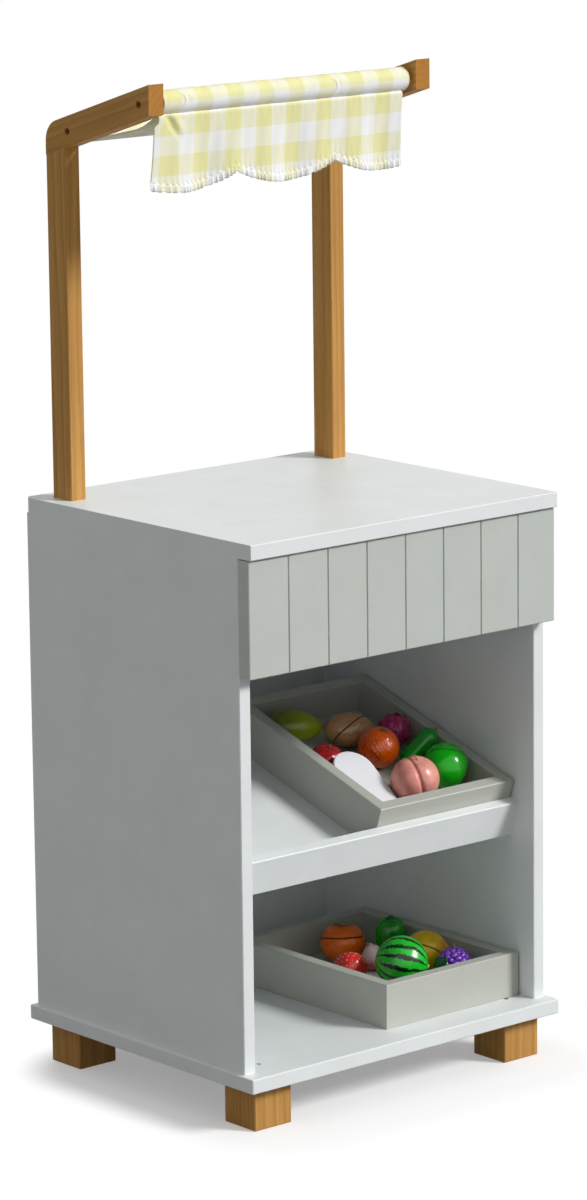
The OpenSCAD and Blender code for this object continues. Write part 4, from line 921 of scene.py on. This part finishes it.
class STALL_OT_whole_fruit(StallStep, bpy.types.Operator):
    """Peach, orange, tomato, dragon fruit, avocado and watermelon"""
    bl_idname = "stall.whole_fruit"
    bl_label = "Whole fruit"
    grid = (72, 144)  # rings and points in a ring of a large ball
    small_grid = (56, 112)

    def execute(self, context):
        food = context.scene.stall_food
        self.peach(food)
        self.orange(food)
        self.tomato(food)
        self.dragon_fruit(food)
        self.avocado(food)
        self.watermelon(food)
        return {"FINISHED"}

    def peach(self, food):
        """Ball drawn in along a cleft, a bell curve of the distance from a plane that runs from its top to
        its front, with a dimple round its stalk and a blush on one cheek."""
        place = seat("peach")
        half = place[2] / 2
        d = ball(*self.grid)
        cleft_normal = unit(np.array([0.9, -0.29, 0.33]))
        off = d @ cleft_normal
        side = np.clip(0.85 - 0.75 * d[:, 1] + 0.25 * d[:, 2], 0, 1)
        cleft = 0.09 * np.exp(-(off / 0.065) ** 2) * side + 0.06 * np.exp(-(off / 0.28) ** 2) * side
        dimple = 0.10 * np.exp(-((1 - d[:, 2]) / 0.06))
        points = d * (1 - cleft - dimple)[:, None] * half + [0, 0, half[2]]
        blush = 0.5 * step(0.1, 1.0, -d[:, 0] * 0.6 + d[:, 2] * 0.1 - d[:, 1] * 0.1)
        # the blush colour also runs in a narrow line along the bottom of the cleft: painted shade in the
        # crease; the blush on the cheek is the peach's own colour
        skin = blended(food.peach[:], linear(222, 118, 104), blush + 0.5 * np.exp(-(off / 0.03) ** 2) * side)
        bend = np.array([[0, 1, -6], [-2, 4, -1], [-5, 7, 3]]) * MM
        stalk = round_tube(bend + [0, 0, 2 * half[2]], np.array([1.3, 1, 1.3]) * MM)
        mould("peach", place, [(points, ball_faces(*self.grid), skin), (*stalk, food.stalk[:])],
              plastic("peach_skin", 0.26, 300, 0.06))

    def orange(self, food):
        """Ball with a pimpled peel and a small star button on top."""
        place = seat("orange")
        r = place[2][0] / 2
        grid = (110, 200)
        d = ball(*grid)
        peel = pimples(d, 420, 0.055) * step(0.99, 0.93, np.abs(d[:, 2]))
        dimple = 0.05 * np.exp(-((1 - d[:, 2]) / 0.025))
        points = d * (r * (1 - dimple) + 0.6 * MM * (peel - 0.9))[:, None] + [0, 0, r]
        button = star(5, (0, 0, 2 * r - 1.8 * MM), 3.4 * MM, 2.4 * MM, 1.6 * MM, 0.4 * MM, thick=0.9 * MM)
        # darker orange between the pimples is painted shade in the pits of the peel; the same darker tone
        # covers both poles, where the pimples end
        skin = blended(food.orange[:], linear(198, 62, 0), 0.6 * (1 - peel))
        mould("orange", place, [(points, ball_faces(*grid), skin)] + [(*b, food.leaf[:]) for b in button],
              plastic("orange_peel", 0.12, 380, 0.3, 0.6))

    def tomato(self, food):
        """Flattened ball with six soft lobes round a dimple, a calyx of five leaves and a stalk."""
        place = seat("tomato")
        half = np.array([place[2][0] / 2, place[2][1] / 2, place[2][0] * 0.45])
        d = ball(*self.small_grid)
        top = np.clip(d[:, 2], 0, 1) ** 2
        lobes = 0.035 * np.cos(6 * np.arctan2(d[:, 1], d[:, 0])) * top * np.hypot(d[:, 0], d[:, 1])
        dimple = 0.2 * np.exp(-((1 - d[:, 2]) / 0.07))
        points = d * (1 + lobes - dimple)[:, None] * half + [0, 0, half[2]]
        high = 2 * half[2] * 0.84
        calyx = star(5, (0, 0, high), 10 * MM, 5 * MM, 7 * MM, 4 * MM)
        stalk = round_tube(np.array([[0, 0, -2], [0, 0, 3], [1, 0, 7]]) * MM + [0, 0, high], 1.4 * MM)
        mould("tomato", place, [(points, ball_faces(*self.small_grid), food.tomato[:])]
              + [(*green, food.leaf[:]) for green in (stalk, *calyx)],
              plastic("tomato_skin", 0.2))

    def dragon_fruit(self, food):
        """Egg with four rings of leaf scales that hug it and curl out at their tips, pink with dark tips. Its
        lower pole is drawn out, and its middle stands so much higher that the pole meets the floor."""
        place = seat("dragon_fruit")
        reach, drawn = place[2][0] / 2 - 2 * MM, 0.04
        body = np.array([reach, reach, place[2][2] / 2])
        d = ball(*self.small_grid)
        middle = [0, 0, (1 + drawn) * body[2]]
        points = d * body * (1 - drawn * d[:, 2:] ** 3) + middle
        skin = blended(food.dragon[:], linear(120, 24, 74), 0.6 * pimples(d, 60, 0.2))
        parts = [(points, ball_faces(*self.small_grid), skin)]
        for ring, polar in enumerate((108, 80, 54, 30)):
            count = 7 if polar > 40 else 5
            for k in range(count):
                t, a = TURN * (k + ring / 2) / count, math.radians(polar)
                turned = np.array([math.cos(t), math.sin(t), 0])
                out = math.sin(a) * turned + [0, 0, math.cos(a)]
                rise = -math.cos(a) * turned + [0, 0, math.sin(a)]
                foot = out * body * 0.99 + middle
                scale = leaf(foot - rise * 3 * MM, rise, out, 12 * MM, 9 * MM, 0.3 * MM, -1.2 * MM, 1.1 * MM)
                way = np.clip((scale[0] - foot) @ rise / (10 * MM), 0, 1)
                parts.append((*scale, blended(food.dragon[:], linear(92, 60, 44), way ** 2 * 0.8)))
        mould("dragon_fruit", place, parts, plastic("dragon_skin", 0.3))

    def avocado(self, food):
        """Pear lathe along X, turned by 20 degrees: the radius is a power of the cosine times a lean towards
        the thick end, with pimples over the skin."""
        place = seat("avocado")
        long, wide = 37 * MM, place[2][2] / 2
        grid = (60, 120)
        d = ball(*grid)
        flat = np.hypot(d[:, 1], d[:, 0])
        share = flat ** 0.9 * (1 - 0.22 * d[:, 2])
        angle = np.arctan2(d[:, 1], d[:, 0])
        r = wide * share / share.max() + 0.3 * MM * (pimples(d, 500, 0.06) - 1) * flat
        points = np.stack([long * d[:, 2], r * np.cos(angle), wide + r * np.sin(angle)], -1)
        button = round_tube([[long - 0.5 * MM, 0, wide], [long + 1.2 * MM, 0, wide]], 2 * MM, (0, 1, 0))
        points, knob = points @ TURNED_BACK, button[0] @ TURNED_BACK
        middle = np.append((points.min(0) + points.max(0))[:2] / 2, 0)
        skin = blended(food.avocado[:], linear(112, 128, 10), step(-0.6, 0.8, -d[:, 2]))
        mould("avocado", place, [(points - middle, ball_faces(*grid), skin),
                                 (knob - middle, button[1], food.stalk[:])],
              plastic("avocado_skin", 0.3))

    def watermelon(self, food):
        """Ball whose pole points right, forward and a little down, with its map round that pole, and a small
        round button on the pole."""
        place = seat("watermelon")
        origin, axes, size = place
        r = size[0] / 2
        pole = direction(101, -42)
        turned = frames_of(pole[None])[0]
        rows, cols = self.grid
        d = ball(rows, cols)
        ridge = 1 + 0.004 * np.cos(14 * np.arctan2(d[:, 1], d[:, 0]) + 0.7) * np.hypot(d[:, 0], d[:, 1])
        points = (d * (r * ridge / ridge.max())[:, None]) @ turned + [0, 0, r]
        faces = ball_faces(rows, cols)
        ring = np.arange(rows * (cols + 1)).reshape(rows, cols + 1)
        quads = np.stack([ring[:-1, :-1], ring[:-1, 1:], ring[1:, 1:], ring[1:, :-1]], -1).reshape(-1, 4)
        turn, way = np.arange(cols + 1) / cols, np.arange(1, rows + 1) / (rows + 1)
        uv = np.stack(np.broadcast_arrays(turn[None], way[:, None]), -1).reshape(-1, 2)
        middle = (np.arange(cols) + 0.5) / cols
        poles = [np.stack([middle, np.full(cols, v)], -1) for v in (0.0, 1.0)]
        start = len(uv)
        low = np.stack([start + np.arange(cols), ring[0, 1:], ring[0, :-1]], -1)
        high = np.stack([start + cols + np.arange(cols), ring[-1, :-1], ring[-1, 1:]], -1)
        mesh = make_mesh("watermelon", origin + points @ axes, faces, np.concatenate([uv, *poles]),
                         np.concatenate([f.ravel() for f in (quads, low, high)]))
        put("watermelon_moulding", mesh, striped_rind("watermelon_rind", food),
            "watermelon", "watermelon")
        foot = np.array([0, 0, r]) + pole * (r - 0.6 * MM)
        rise, girth = np.array([0, 1.2, 2.0, 2.4]) * MM, np.array([3.4, 3.4, 2.6, 1.2]) * MM
        knob = round_tube(foot + pole * rise[:, None], girth, turned[0], 16)
        tip, tip_faces, paint = joined((*knob, linear(150, 200, 70)))
        button = make_mesh("watermelon_button", origin + tip @ axes, tip_faces, paint=paint)
        put("watermelon_button", button, plastic("button_plastic"), "watermelon", None)


class STALL_OT_cut_fruit(StallStep, bpy.types.Operator):
    """Apple, kiwi, lemon and persimmon, each in two parts that a flat cut divides"""
    bl_idname = "stall.cut_fruit"
    bl_label = "Cut fruit"
    gap = 0.3 * MM

    def execute(self, context):
        food = context.scene.stall_food
        self.apple(food)
        self.kiwi(food)
        self.lemon(food)
        self.persimmon(food)
        return {"FINISHED"}

    def pair(self, name, slot, place, centre, radius, cut, skin, flesh, material, lower=(), upper=()):
        """Lower and upper part of one fruit, each with its further parts. skin gives a colour for points that
        are measured from the fruit's middle."""
        for part, side, more in (("lower", -1, lower), ("upper", 1, upper)):
            points, faces, share, dark = cut_part(radius, *cut, side, self.gap)
            # paint: skin, flesh on the cut face, and a dark ring at the rim that is painted shade in the
            # groove of the cut
            paint = blended(blended(skin(points), flesh, share), tinted(skin(points[-1:])[0], 0.2), dark)
            mould(f"{name}_{part}", place, [(points + centre, faces, paint), *more], material)

    def apple(self, food):
        """Ball that lies on its side, with a dimple round its stalk, which points right and forward."""
        place = seat("green_apple_lower", "green_apple_upper")
        r = place[2][2] / 2
        centre = np.array([0, 0, r])
        axis = direction(101, -50)

        def radius(d):
            near = d @ axis
            return r * (1 - 0.15 * np.exp(-(1 - near) / 0.055) - 0.03 * np.exp(-(1 + near) / 0.05))

        foot = centre + axis * 0.8 * r
        stalk = round_tube([foot, foot + axis * 0.12 * r, foot + axis * 0.2 * r],
                           np.array([1.2, 1.0, 1.4]) * MM, (0, 0, 1))
        self.pair("green_apple", "apple_plastic", place, centre, radius, cut_plane(62, 54, 0.74, 2 * r),
                  lambda points: blended(food.apple[:], linear(40, 186, 30), step(0, r, points @ axis)),
                  food.flesh[:], plastic("apple_skin", 0.2), lower=[(*stalk, food.stalk[:])])

    def kiwi(self, food):
        """Ellipsoid along X, turned by 20 degrees, with small pimples and cut across by a steep plane that
        faces back."""
        place = seat("kiwi_lower", "kiwi_upper")
        half = np.array([34 * MM, place[2][2] / 2, place[2][2] / 2])

        def radius(d):
            along = d @ TURNED_BACK.T
            return 1 / np.sqrt(((along / half) ** 2).sum(1)) + 0.5 * MM * (pimples(along, 320, 0.06) - 1)

        # the skin turns darker brown from the middle towards the bottom: painted shade on the underside
        self.pair("kiwi", "kiwi_plastic", place, np.array([0, 0, half[2]]), radius,
                  cut_plane(64, 109, 0.55, 2 * half[2]),
                  lambda points: blended(food.kiwi[:], linear(172, 126, 84), step(0, -half[2], points[:, 2])),
                  linear(150, 186, 60), plastic("kiwi_skin", 0.14, 340, 0.5, 0.4))

    def lemon(self, food):
        """Ellipsoid with a drawn-out tip at both ends, turned by 45 degrees and cut by a plane that rises to
        the right, under its middle."""
        place = seat("lemon_lower", "lemon_upper")
        wide = place[2][2] / 2
        axis = np.array([math.sqrt(0.5), -math.sqrt(0.5), 0])
        body, tip = 28.5 * MM, 5.5 * MM

        def radius(d):
            along = d @ axis
            plain = 1 / np.sqrt((along / body) ** 2 + (1 - along ** 2) / wide ** 2)
            drawn = tip * np.exp(-((1 - np.abs(along)) / 0.035))
            return plain + drawn + 0.25 * MM * (pimples(d, 420, 0.05) - 1)

        def peel(points):
            return blended(food.lemon[:], linear(236, 182, 6), step(0, wide, np.abs(points @ axis)))

        self.pair("lemon", "lemon_plastic", place, np.array([0, 0, wide]), radius,
                  cut_plane(45, 25, 0.36, 2 * wide), peel, linear(246, 226, 130),
                  plastic("lemon_peel", 0.24, 420, 0.3))

    def persimmon(self, food):
        """Flattened ball with four soft corners, cut over its middle, with a four-leaved calyx on top."""
        place = seat("persimmon_lower", "persimmon_upper")
        wide, high = place[2][0] / 2, 26 * MM

        def radius(d):
            flat = np.hypot(d[:, 0], d[:, 1])
            corner = 0.012 * (np.cos(4 * np.arctan2(d[:, 1], d[:, 0])) - 1) * flat ** 2
            return (1 + corner - 0.14 * np.exp(-((1 - d[:, 2]) / 0.06))) / np.sqrt(
                (flat / wide) ** 2 + (d[:, 2] / high) ** 2)

        calyx = star(4, (0, 0, 2 * high - 3.4 * MM), 13 * MM, 11 * MM, 4.2 * MM, 3 * MM, 0.5, 0.9 * MM)
        stalk = round_tube(np.array([[0, 0, -6], [0, 0, -2], [0, 0, 1]]) * MM + [0, 0, 2 * high], 2 * MM)
        self.pair("persimmon", "persimmon_plastic", place, np.array([0, 0, high]), radius,
                  cut_plane(12, 57, 0.64, 2 * high),
                  lambda points: blended(food.persimmon[:], linear(228, 92, 0), step(0, -high, points[:, 2])),
                  linear(240, 170, 80), plastic("persimmon_skin", 0.22),
                  upper=[(*c, linear(120, 84, 14)) for c in calyx] + [(*stalk, food.stalk[:])])


class STALL_OT_vegetables(StallStep, bpy.types.Operator):
    """Green pepper, bell pepper and radish"""
    bl_idname = "stall.vegetables"
    bl_label = "Vegetables"

    def execute(self, context):
        food = context.scene.stall_food
        self.green_pepper(food)
        self.bell_pepper(food)
        self.radish(food)
        return {"FINISHED"}

    def green_pepper(self, food):
        """Tapering lobed tube that leans from its foot up to the tray's right wall, with a round foot, a
        round shoulder and a stalk."""
        place = seat("green_pepper")
        r = place[2][1] / 2
        run = np.array([place[2][0] - 2 * r, 0, place[2][2] - 2 * r])
        axis = np.linalg.norm(run)
        along = run / axis
        foot = np.array([r - place[2][0] / 2, 0, r])
        s = np.linspace(-1, 1, 61)[1:-1]
        way = axis / 2 + (axis / 2 + r) * s
        near = np.minimum(np.abs(way), np.abs(axis - way)) * ((way < 0) | (way > axis))
        waist = 1 - 0.05 * np.sin(np.pi * np.clip(way / axis, 0, 1))
        wide = np.sqrt(np.maximum(r * r - near ** 2, 0)) * waist
        middle = foot + along * way[:, None]
        side = np.array([0, 1.0, 0])
        up = np.cross(along, side)
        cols = 72
        turn = TURN * np.arange(cols) / cols
        lobe = 1 - 0.02 * (0.5 + 0.5 * np.cos(3 * turn + 0.6))
        ring = middle[:, None] + (wide[:, None] * lobe)[..., None] * (
            np.cos(turn)[None, :, None] * side + np.sin(turn)[None, :, None] * up)
        ends = foot + along * np.array([[-r], [axis + r - 1.2 * MM]])
        points = np.concatenate([ends[:1], ring.reshape(-1, 3), ends[1:]])
        stem = foot + along * (axis + r - 2.5 * MM)
        stalk = round_tube([stem, stem + along * 3 * MM, stem + along * 6 * MM + up * 1.5 * MM],
                           1.8 * MM, side)
        share = np.r_[0, np.repeat(step(0, axis, way), cols), 1]
        mould("green_pepper", place,
              [(points, ball_faces(len(way), cols), blended(food.pepper[:], linear(30, 170, 40), share)),
               (*stalk, food.stalk[:])], plastic("green_pepper_skin", 0.18))

    def bell_pepper(self, food):
        """Blocky ball: four lobes deepen from the waist to both ends, with a dimple and a stalk on top."""
        place = seat("bell_pepper")
        half = np.array([place[2][0] / 2, place[2][1] / 2, 28 * MM])
        grid = (72, 144)
        d = ball(*grid)
        turn, flat = np.arctan2(d[:, 1], d[:, 0]), np.hypot(d[:, 0], d[:, 1])
        block = (flat ** 3 + np.abs(d[:, 2]) ** 3) ** (-1 / 3)
        lobes = 1 - 0.10 * (0.5 - 0.5 * np.cos(4 * turn)) * (0.35 + 0.65 * np.abs(d[:, 2])) * flat ** 0.5
        taper = 1 + 0.05 * d[:, 2] - 0.05
        dimple = 0.22 * np.exp(-((1 - d[:, 2]) / 0.06))
        form = d * (block * lobes * (1 - dimple))[:, None]
        form[:, :2] *= taper[:, None]
        form[:, :2] /= np.abs(form[:, :2]).max()
        form[:, 2] /= np.abs(form[:, 2]).max()
        points = form * half + [0, 0, half[2]]
        rise, girth = np.array([-2, 3, 6, 8]) * MM, np.array([8, 6.5, 4.5, 2]) * MM
        stalk = round_tube(points[-1:] * [0, 0, 1] + [0, 0, 1] * rise[:, None], girth, cols=16)
        # darker green in the grooves between the four lobes: painted shade in the grooves
        skin = blended(linear(4, 168, 12), linear(2, 132, 10), 0.7 * (0.5 - 0.5 * np.cos(4 * turn)))
        mould("bell_pepper", place, [(points, ball_faces(*grid), skin), (*stalk, food.leaf[:])],
              plastic("bell_pepper_skin", 0.2))

    def radish(self, food):
        """Tall ball, pale above and pink below, with a thin root that bends back and down behind its top."""
        place = seat("radish")
        wide, high = place[2][0] / 2, 17 * MM
        grid = (48, 96)
        d = ball(*grid)
        points = d * [wide, wide, high] + [0, 0, high]
        bend = np.array([[0, 3, -2], [0, 6, -0.5], [0, 10, -0.5], [0, 14, -2.5]]) * MM
        root = round_tube(bend + [0, 0, 2 * high], np.array([3, 1.6, 1.0, 0.5]) * MM)
        skin = blended(food.radish_low[:], food.radish[:], step(-0.45, 0.15, d[:, 2]))
        mould("radish", place, [(points, ball_faces(*grid), skin), (*root, food.radish[:])],
              plastic("radish_skin", 0.26))


class STALL_OT_berries(StallStep, bpy.types.Operator):
    """Strawberry with its seeds and the bunch of grapes with its leaf"""
    bl_idname = "stall.berries"
    bl_label = "Berries"

    def execute(self, context):
        food = context.scene.stall_food
        self.strawberry(food)
        self.grapes(food)
        return {"FINISHED"}

    def strawberry(self, food):
        """Pear lathe along Y with its thick end in front, quilted between seeds that lie in small pits, and a
        calyx pressed on the thick end."""
        place = seat("strawberry")
        long, wide = place[2][1] / 2, place[2][0] / 2
        grid, count = (80, 160), 110
        widest = 1.0196  # greatest share of the leaning profile
        d = ball(*grid)

        def form(d, sink):
            flat = np.hypot(d[:, 0], d[:, 1])
            share = flat ** 0.9 * (1 - 0.2 * d[:, 2]) / widest
            r = np.minimum(share, 1) * wide - sink * flat
            turn = np.arctan2(d[:, 1], d[:, 0])
            return np.stack([r * np.cos(turn), long * d[:, 2], wide + r * np.sin(turn)], -1)

        spots = spiral(count)
        pits = np.exp(((d @ spots.T).max(1) - 1) / 0.06 ** 2)
        points = form(d, 0.9 * MM * pits)
        faces = [f[:, ::-1] for f in ball_faces(*grid)]
        spots = spots[np.abs(spots[:, 2]) < 0.93]
        middles = form(spots, np.full(len(spots), 0.5 * MM))
        out = middles - [0, 0, wide]
        out[:, 1] *= (wide / long) ** 2
        seed = np.array([0.7, 1.1, 0.5]) * MM
        seeds = scattered(middles, frames_of(unit(out)), np.tile(seed, (len(out), 1)), 3, 6)
        front = np.array([0, -long + 1.2 * MM, wide])
        calyx = []
        for k in range(6):
            a = TURN * k / 6
            calyx.append(leaf(front, (math.cos(a), 0, math.sin(a)), (0, -1, 0),
                              11 * MM, 6 * MM, 1.6 * MM, 4.6 * MM))
        mould("strawberry", place, [(points, faces, food.strawberry[:]), (*seeds, food.seed[:])]
              + [(*c, food.leaf[:]) for c in calyx],
              plastic("strawberry_skin", 0.16, 300, 0.1, 0.6))

    def grapes(self, food):
        """Round bunch: small balls spread evenly over an egg, their sizes changing a little in turn, and a
        broad leaf that lies against its left side."""
        place = seat("grapes")
        reach, tall = place[2][0] / 2, place[2][2]
        r = 5.2 * MM
        egg, middle = [reach - r, reach - r, tall / 2 - r], [0, 0, tall / 2]
        middles = spiral(84) * egg + middle
        sizes = r * (0.97 + 0.06 * np.sin(7.1 * np.arange(len(middles))))[:, None] * np.ones((1, 3))
        balls = scattered(middles, np.tile(np.eye(3), (len(middles), 1, 1)), sizes, 9, 16)
        # the core egg is dark purple and shows only in the gaps between the grapes: painted shade inside the
        # bunch
        core_grid = (12, 24)
        core = ball(*core_grid) * egg + middle
        parts = [(*balls, food.grape[:]), (core, ball_faces(*core_grid), linear(60, 26, 96))]
        parts += [(*lobe, food.leaf[:]) for lobe in self.vine_leaf(reach, tall)]
        stalk = round_tube(np.array([[0, 0, -2], [1, 1, 2], [2, 3, 4]]) * MM + [0, 0, tall], 1.2 * MM)
        mould("grapes", place, parts + [(*stalk, food.stalk[:])],
              plastic("grape_skin", 0.1, 300, 0.06, 0.8))

    def vine_leaf(self, reach, tall):
        """Three pointed lobes that hang from one stem down the left side of the bunch."""
        foot = np.array([-reach + 5 * MM, -2 * MM, tall * 0.72])
        lobes = []
        for a, size in ((-0.75, 17), (0.0, 20), (0.75, 17)):
            out = unit(np.array([-0.45, math.sin(a), -0.75 * math.cos(a)]))
            lobes.append(leaf(foot, out, (-0.85, 0, 0.5), size * MM, 13 * MM, 5 * MM, 3 * MM, 0.8 * MM))
        return lobes


class STALL_OT_chopping_board(StallStep, bpy.types.Operator):
    """White chopping board with a round far end, leaning from the tray's floor up to the back"""
    bl_idname = "stall.chopping_board"
    bl_label = "Chopping board"
    lean = math.radians(20)

    def execute(self, context):
        rgb = context.scene.stall_food.board[:]
        n = Nodes("board_plastic")
        where = n.coords()
        scratch = n.noise(n.moved(where, Rotation=(0, 0, 0.4), Scale=(40, 700, 700)), 1, 3)
        plastic_white = n.finish(
            Base_Color=n.mix(n.spread(scratch, 0.35, 0.7), rgb, tinted(rgb, 0.95)),
            Roughness=n.spread(scratch, 0.3, 0.7, 0.3, 0.42), Normal=n.bump(scratch, 0.0001, 0.15))
        origin, axes, size = seat("chopping_board")
        c, s = math.cos(self.lean), math.sin(self.lean)
        long, thick = np.array([[c, -s], [-s, c]]) @ size[1:] / (c * c - s * s)
        edge = ((6, 0), (2.5, 0), (1, 0), (0.3, 0.3), (0, 1))
        rings = [self.outline(size[0], long, inset * MM, up * MM) for inset, up in edge]
        rings += [self.outline(size[0], long, inset * MM, thick - up * MM) for inset, up in reversed(edge)]
        ends = [[[0, long / 2, z]] for z in (0, thick)]
        flat = np.concatenate([ends[0], *rings, ends[1]])
        back = flat[:, 1] * c - flat[:, 2] * s - (long * c - thick * s) / 2
        points = np.stack([flat[:, 0], back, flat[:, 1] * s + flat[:, 2] * c], -1)
        mesh = make_mesh("chopping_board", origin + points @ axes, ball_faces(len(rings), len(rings[0])))
        put("chopping_board_moulding", mesh, plastic_white,
            "chopping_board", "chopping_board")
        return {"FINISHED"}

    def outline(self, wide, long, inset, up):
        """Ring at a height: straight front and sides, and half a circle at the far end, all moved in by
        inset."""
        r, steps = wide / 2 - inset, 11
        t = np.arange(steps) / steps
        turn = np.linspace(0, np.pi, 49)
        far = long - wide / 2
        x = np.r_[r * (2 * t - 1), np.full(steps, r), r * np.cos(turn), np.full(steps - 1, -r)]
        y = np.r_[np.full(steps, inset), inset + (far - inset) * t, far + r * np.sin(turn),
                  far + (inset - far) * t[1:]]
        return np.stack([x, y, np.full(len(x), up)], -1)


class STALL_PT_steps(bpy.types.Panel):
    """Lists the steps that dress the stall"""
    bl_label = "Toy market stall"
    bl_idname = "STALL_PT_steps"
    bl_space_type = "VIEW_3D"
    bl_region_type = "UI"
    bl_category = "Stall"

    def draw(self, context):
        for step_class in STEPS:
            self.layout.operator(step_class.bl_idname)


GROUPS = {"stall_boards": StallBoards, "stall_awning": StallAwning, "stall_food": StallFood,
          "stall_stage": StallStage}
STEPS = (STALL_OT_stage, STALL_OT_boards, STALL_OT_timber, STALL_OT_fittings, STALL_OT_awning,
         STALL_OT_whole_fruit, STALL_OT_cut_fruit, STALL_OT_vegetables, STALL_OT_berries,
         STALL_OT_chopping_board)


def register():
    for cls in (*GROUPS.values(), *STEPS, STALL_PT_steps):
        bpy.utils.register_class(cls)
    for name, cls in GROUPS.items():
        setattr(bpy.types.Scene, name, bpy.props.PointerProperty(type=cls))


def unregister():
    for name in GROUPS:
        delattr(bpy.types.Scene, name)
    for cls in (STALL_PT_steps, *reversed(STEPS), *GROUPS.values()):
        bpy.utils.unregister_class(cls)


def main():
    register()
    for step_class in STEPS:
        group, name = step_class.bl_idname.split(".")
        getattr(getattr(bpy.ops, group), name)()


if __name__ == "__main__":
    main()
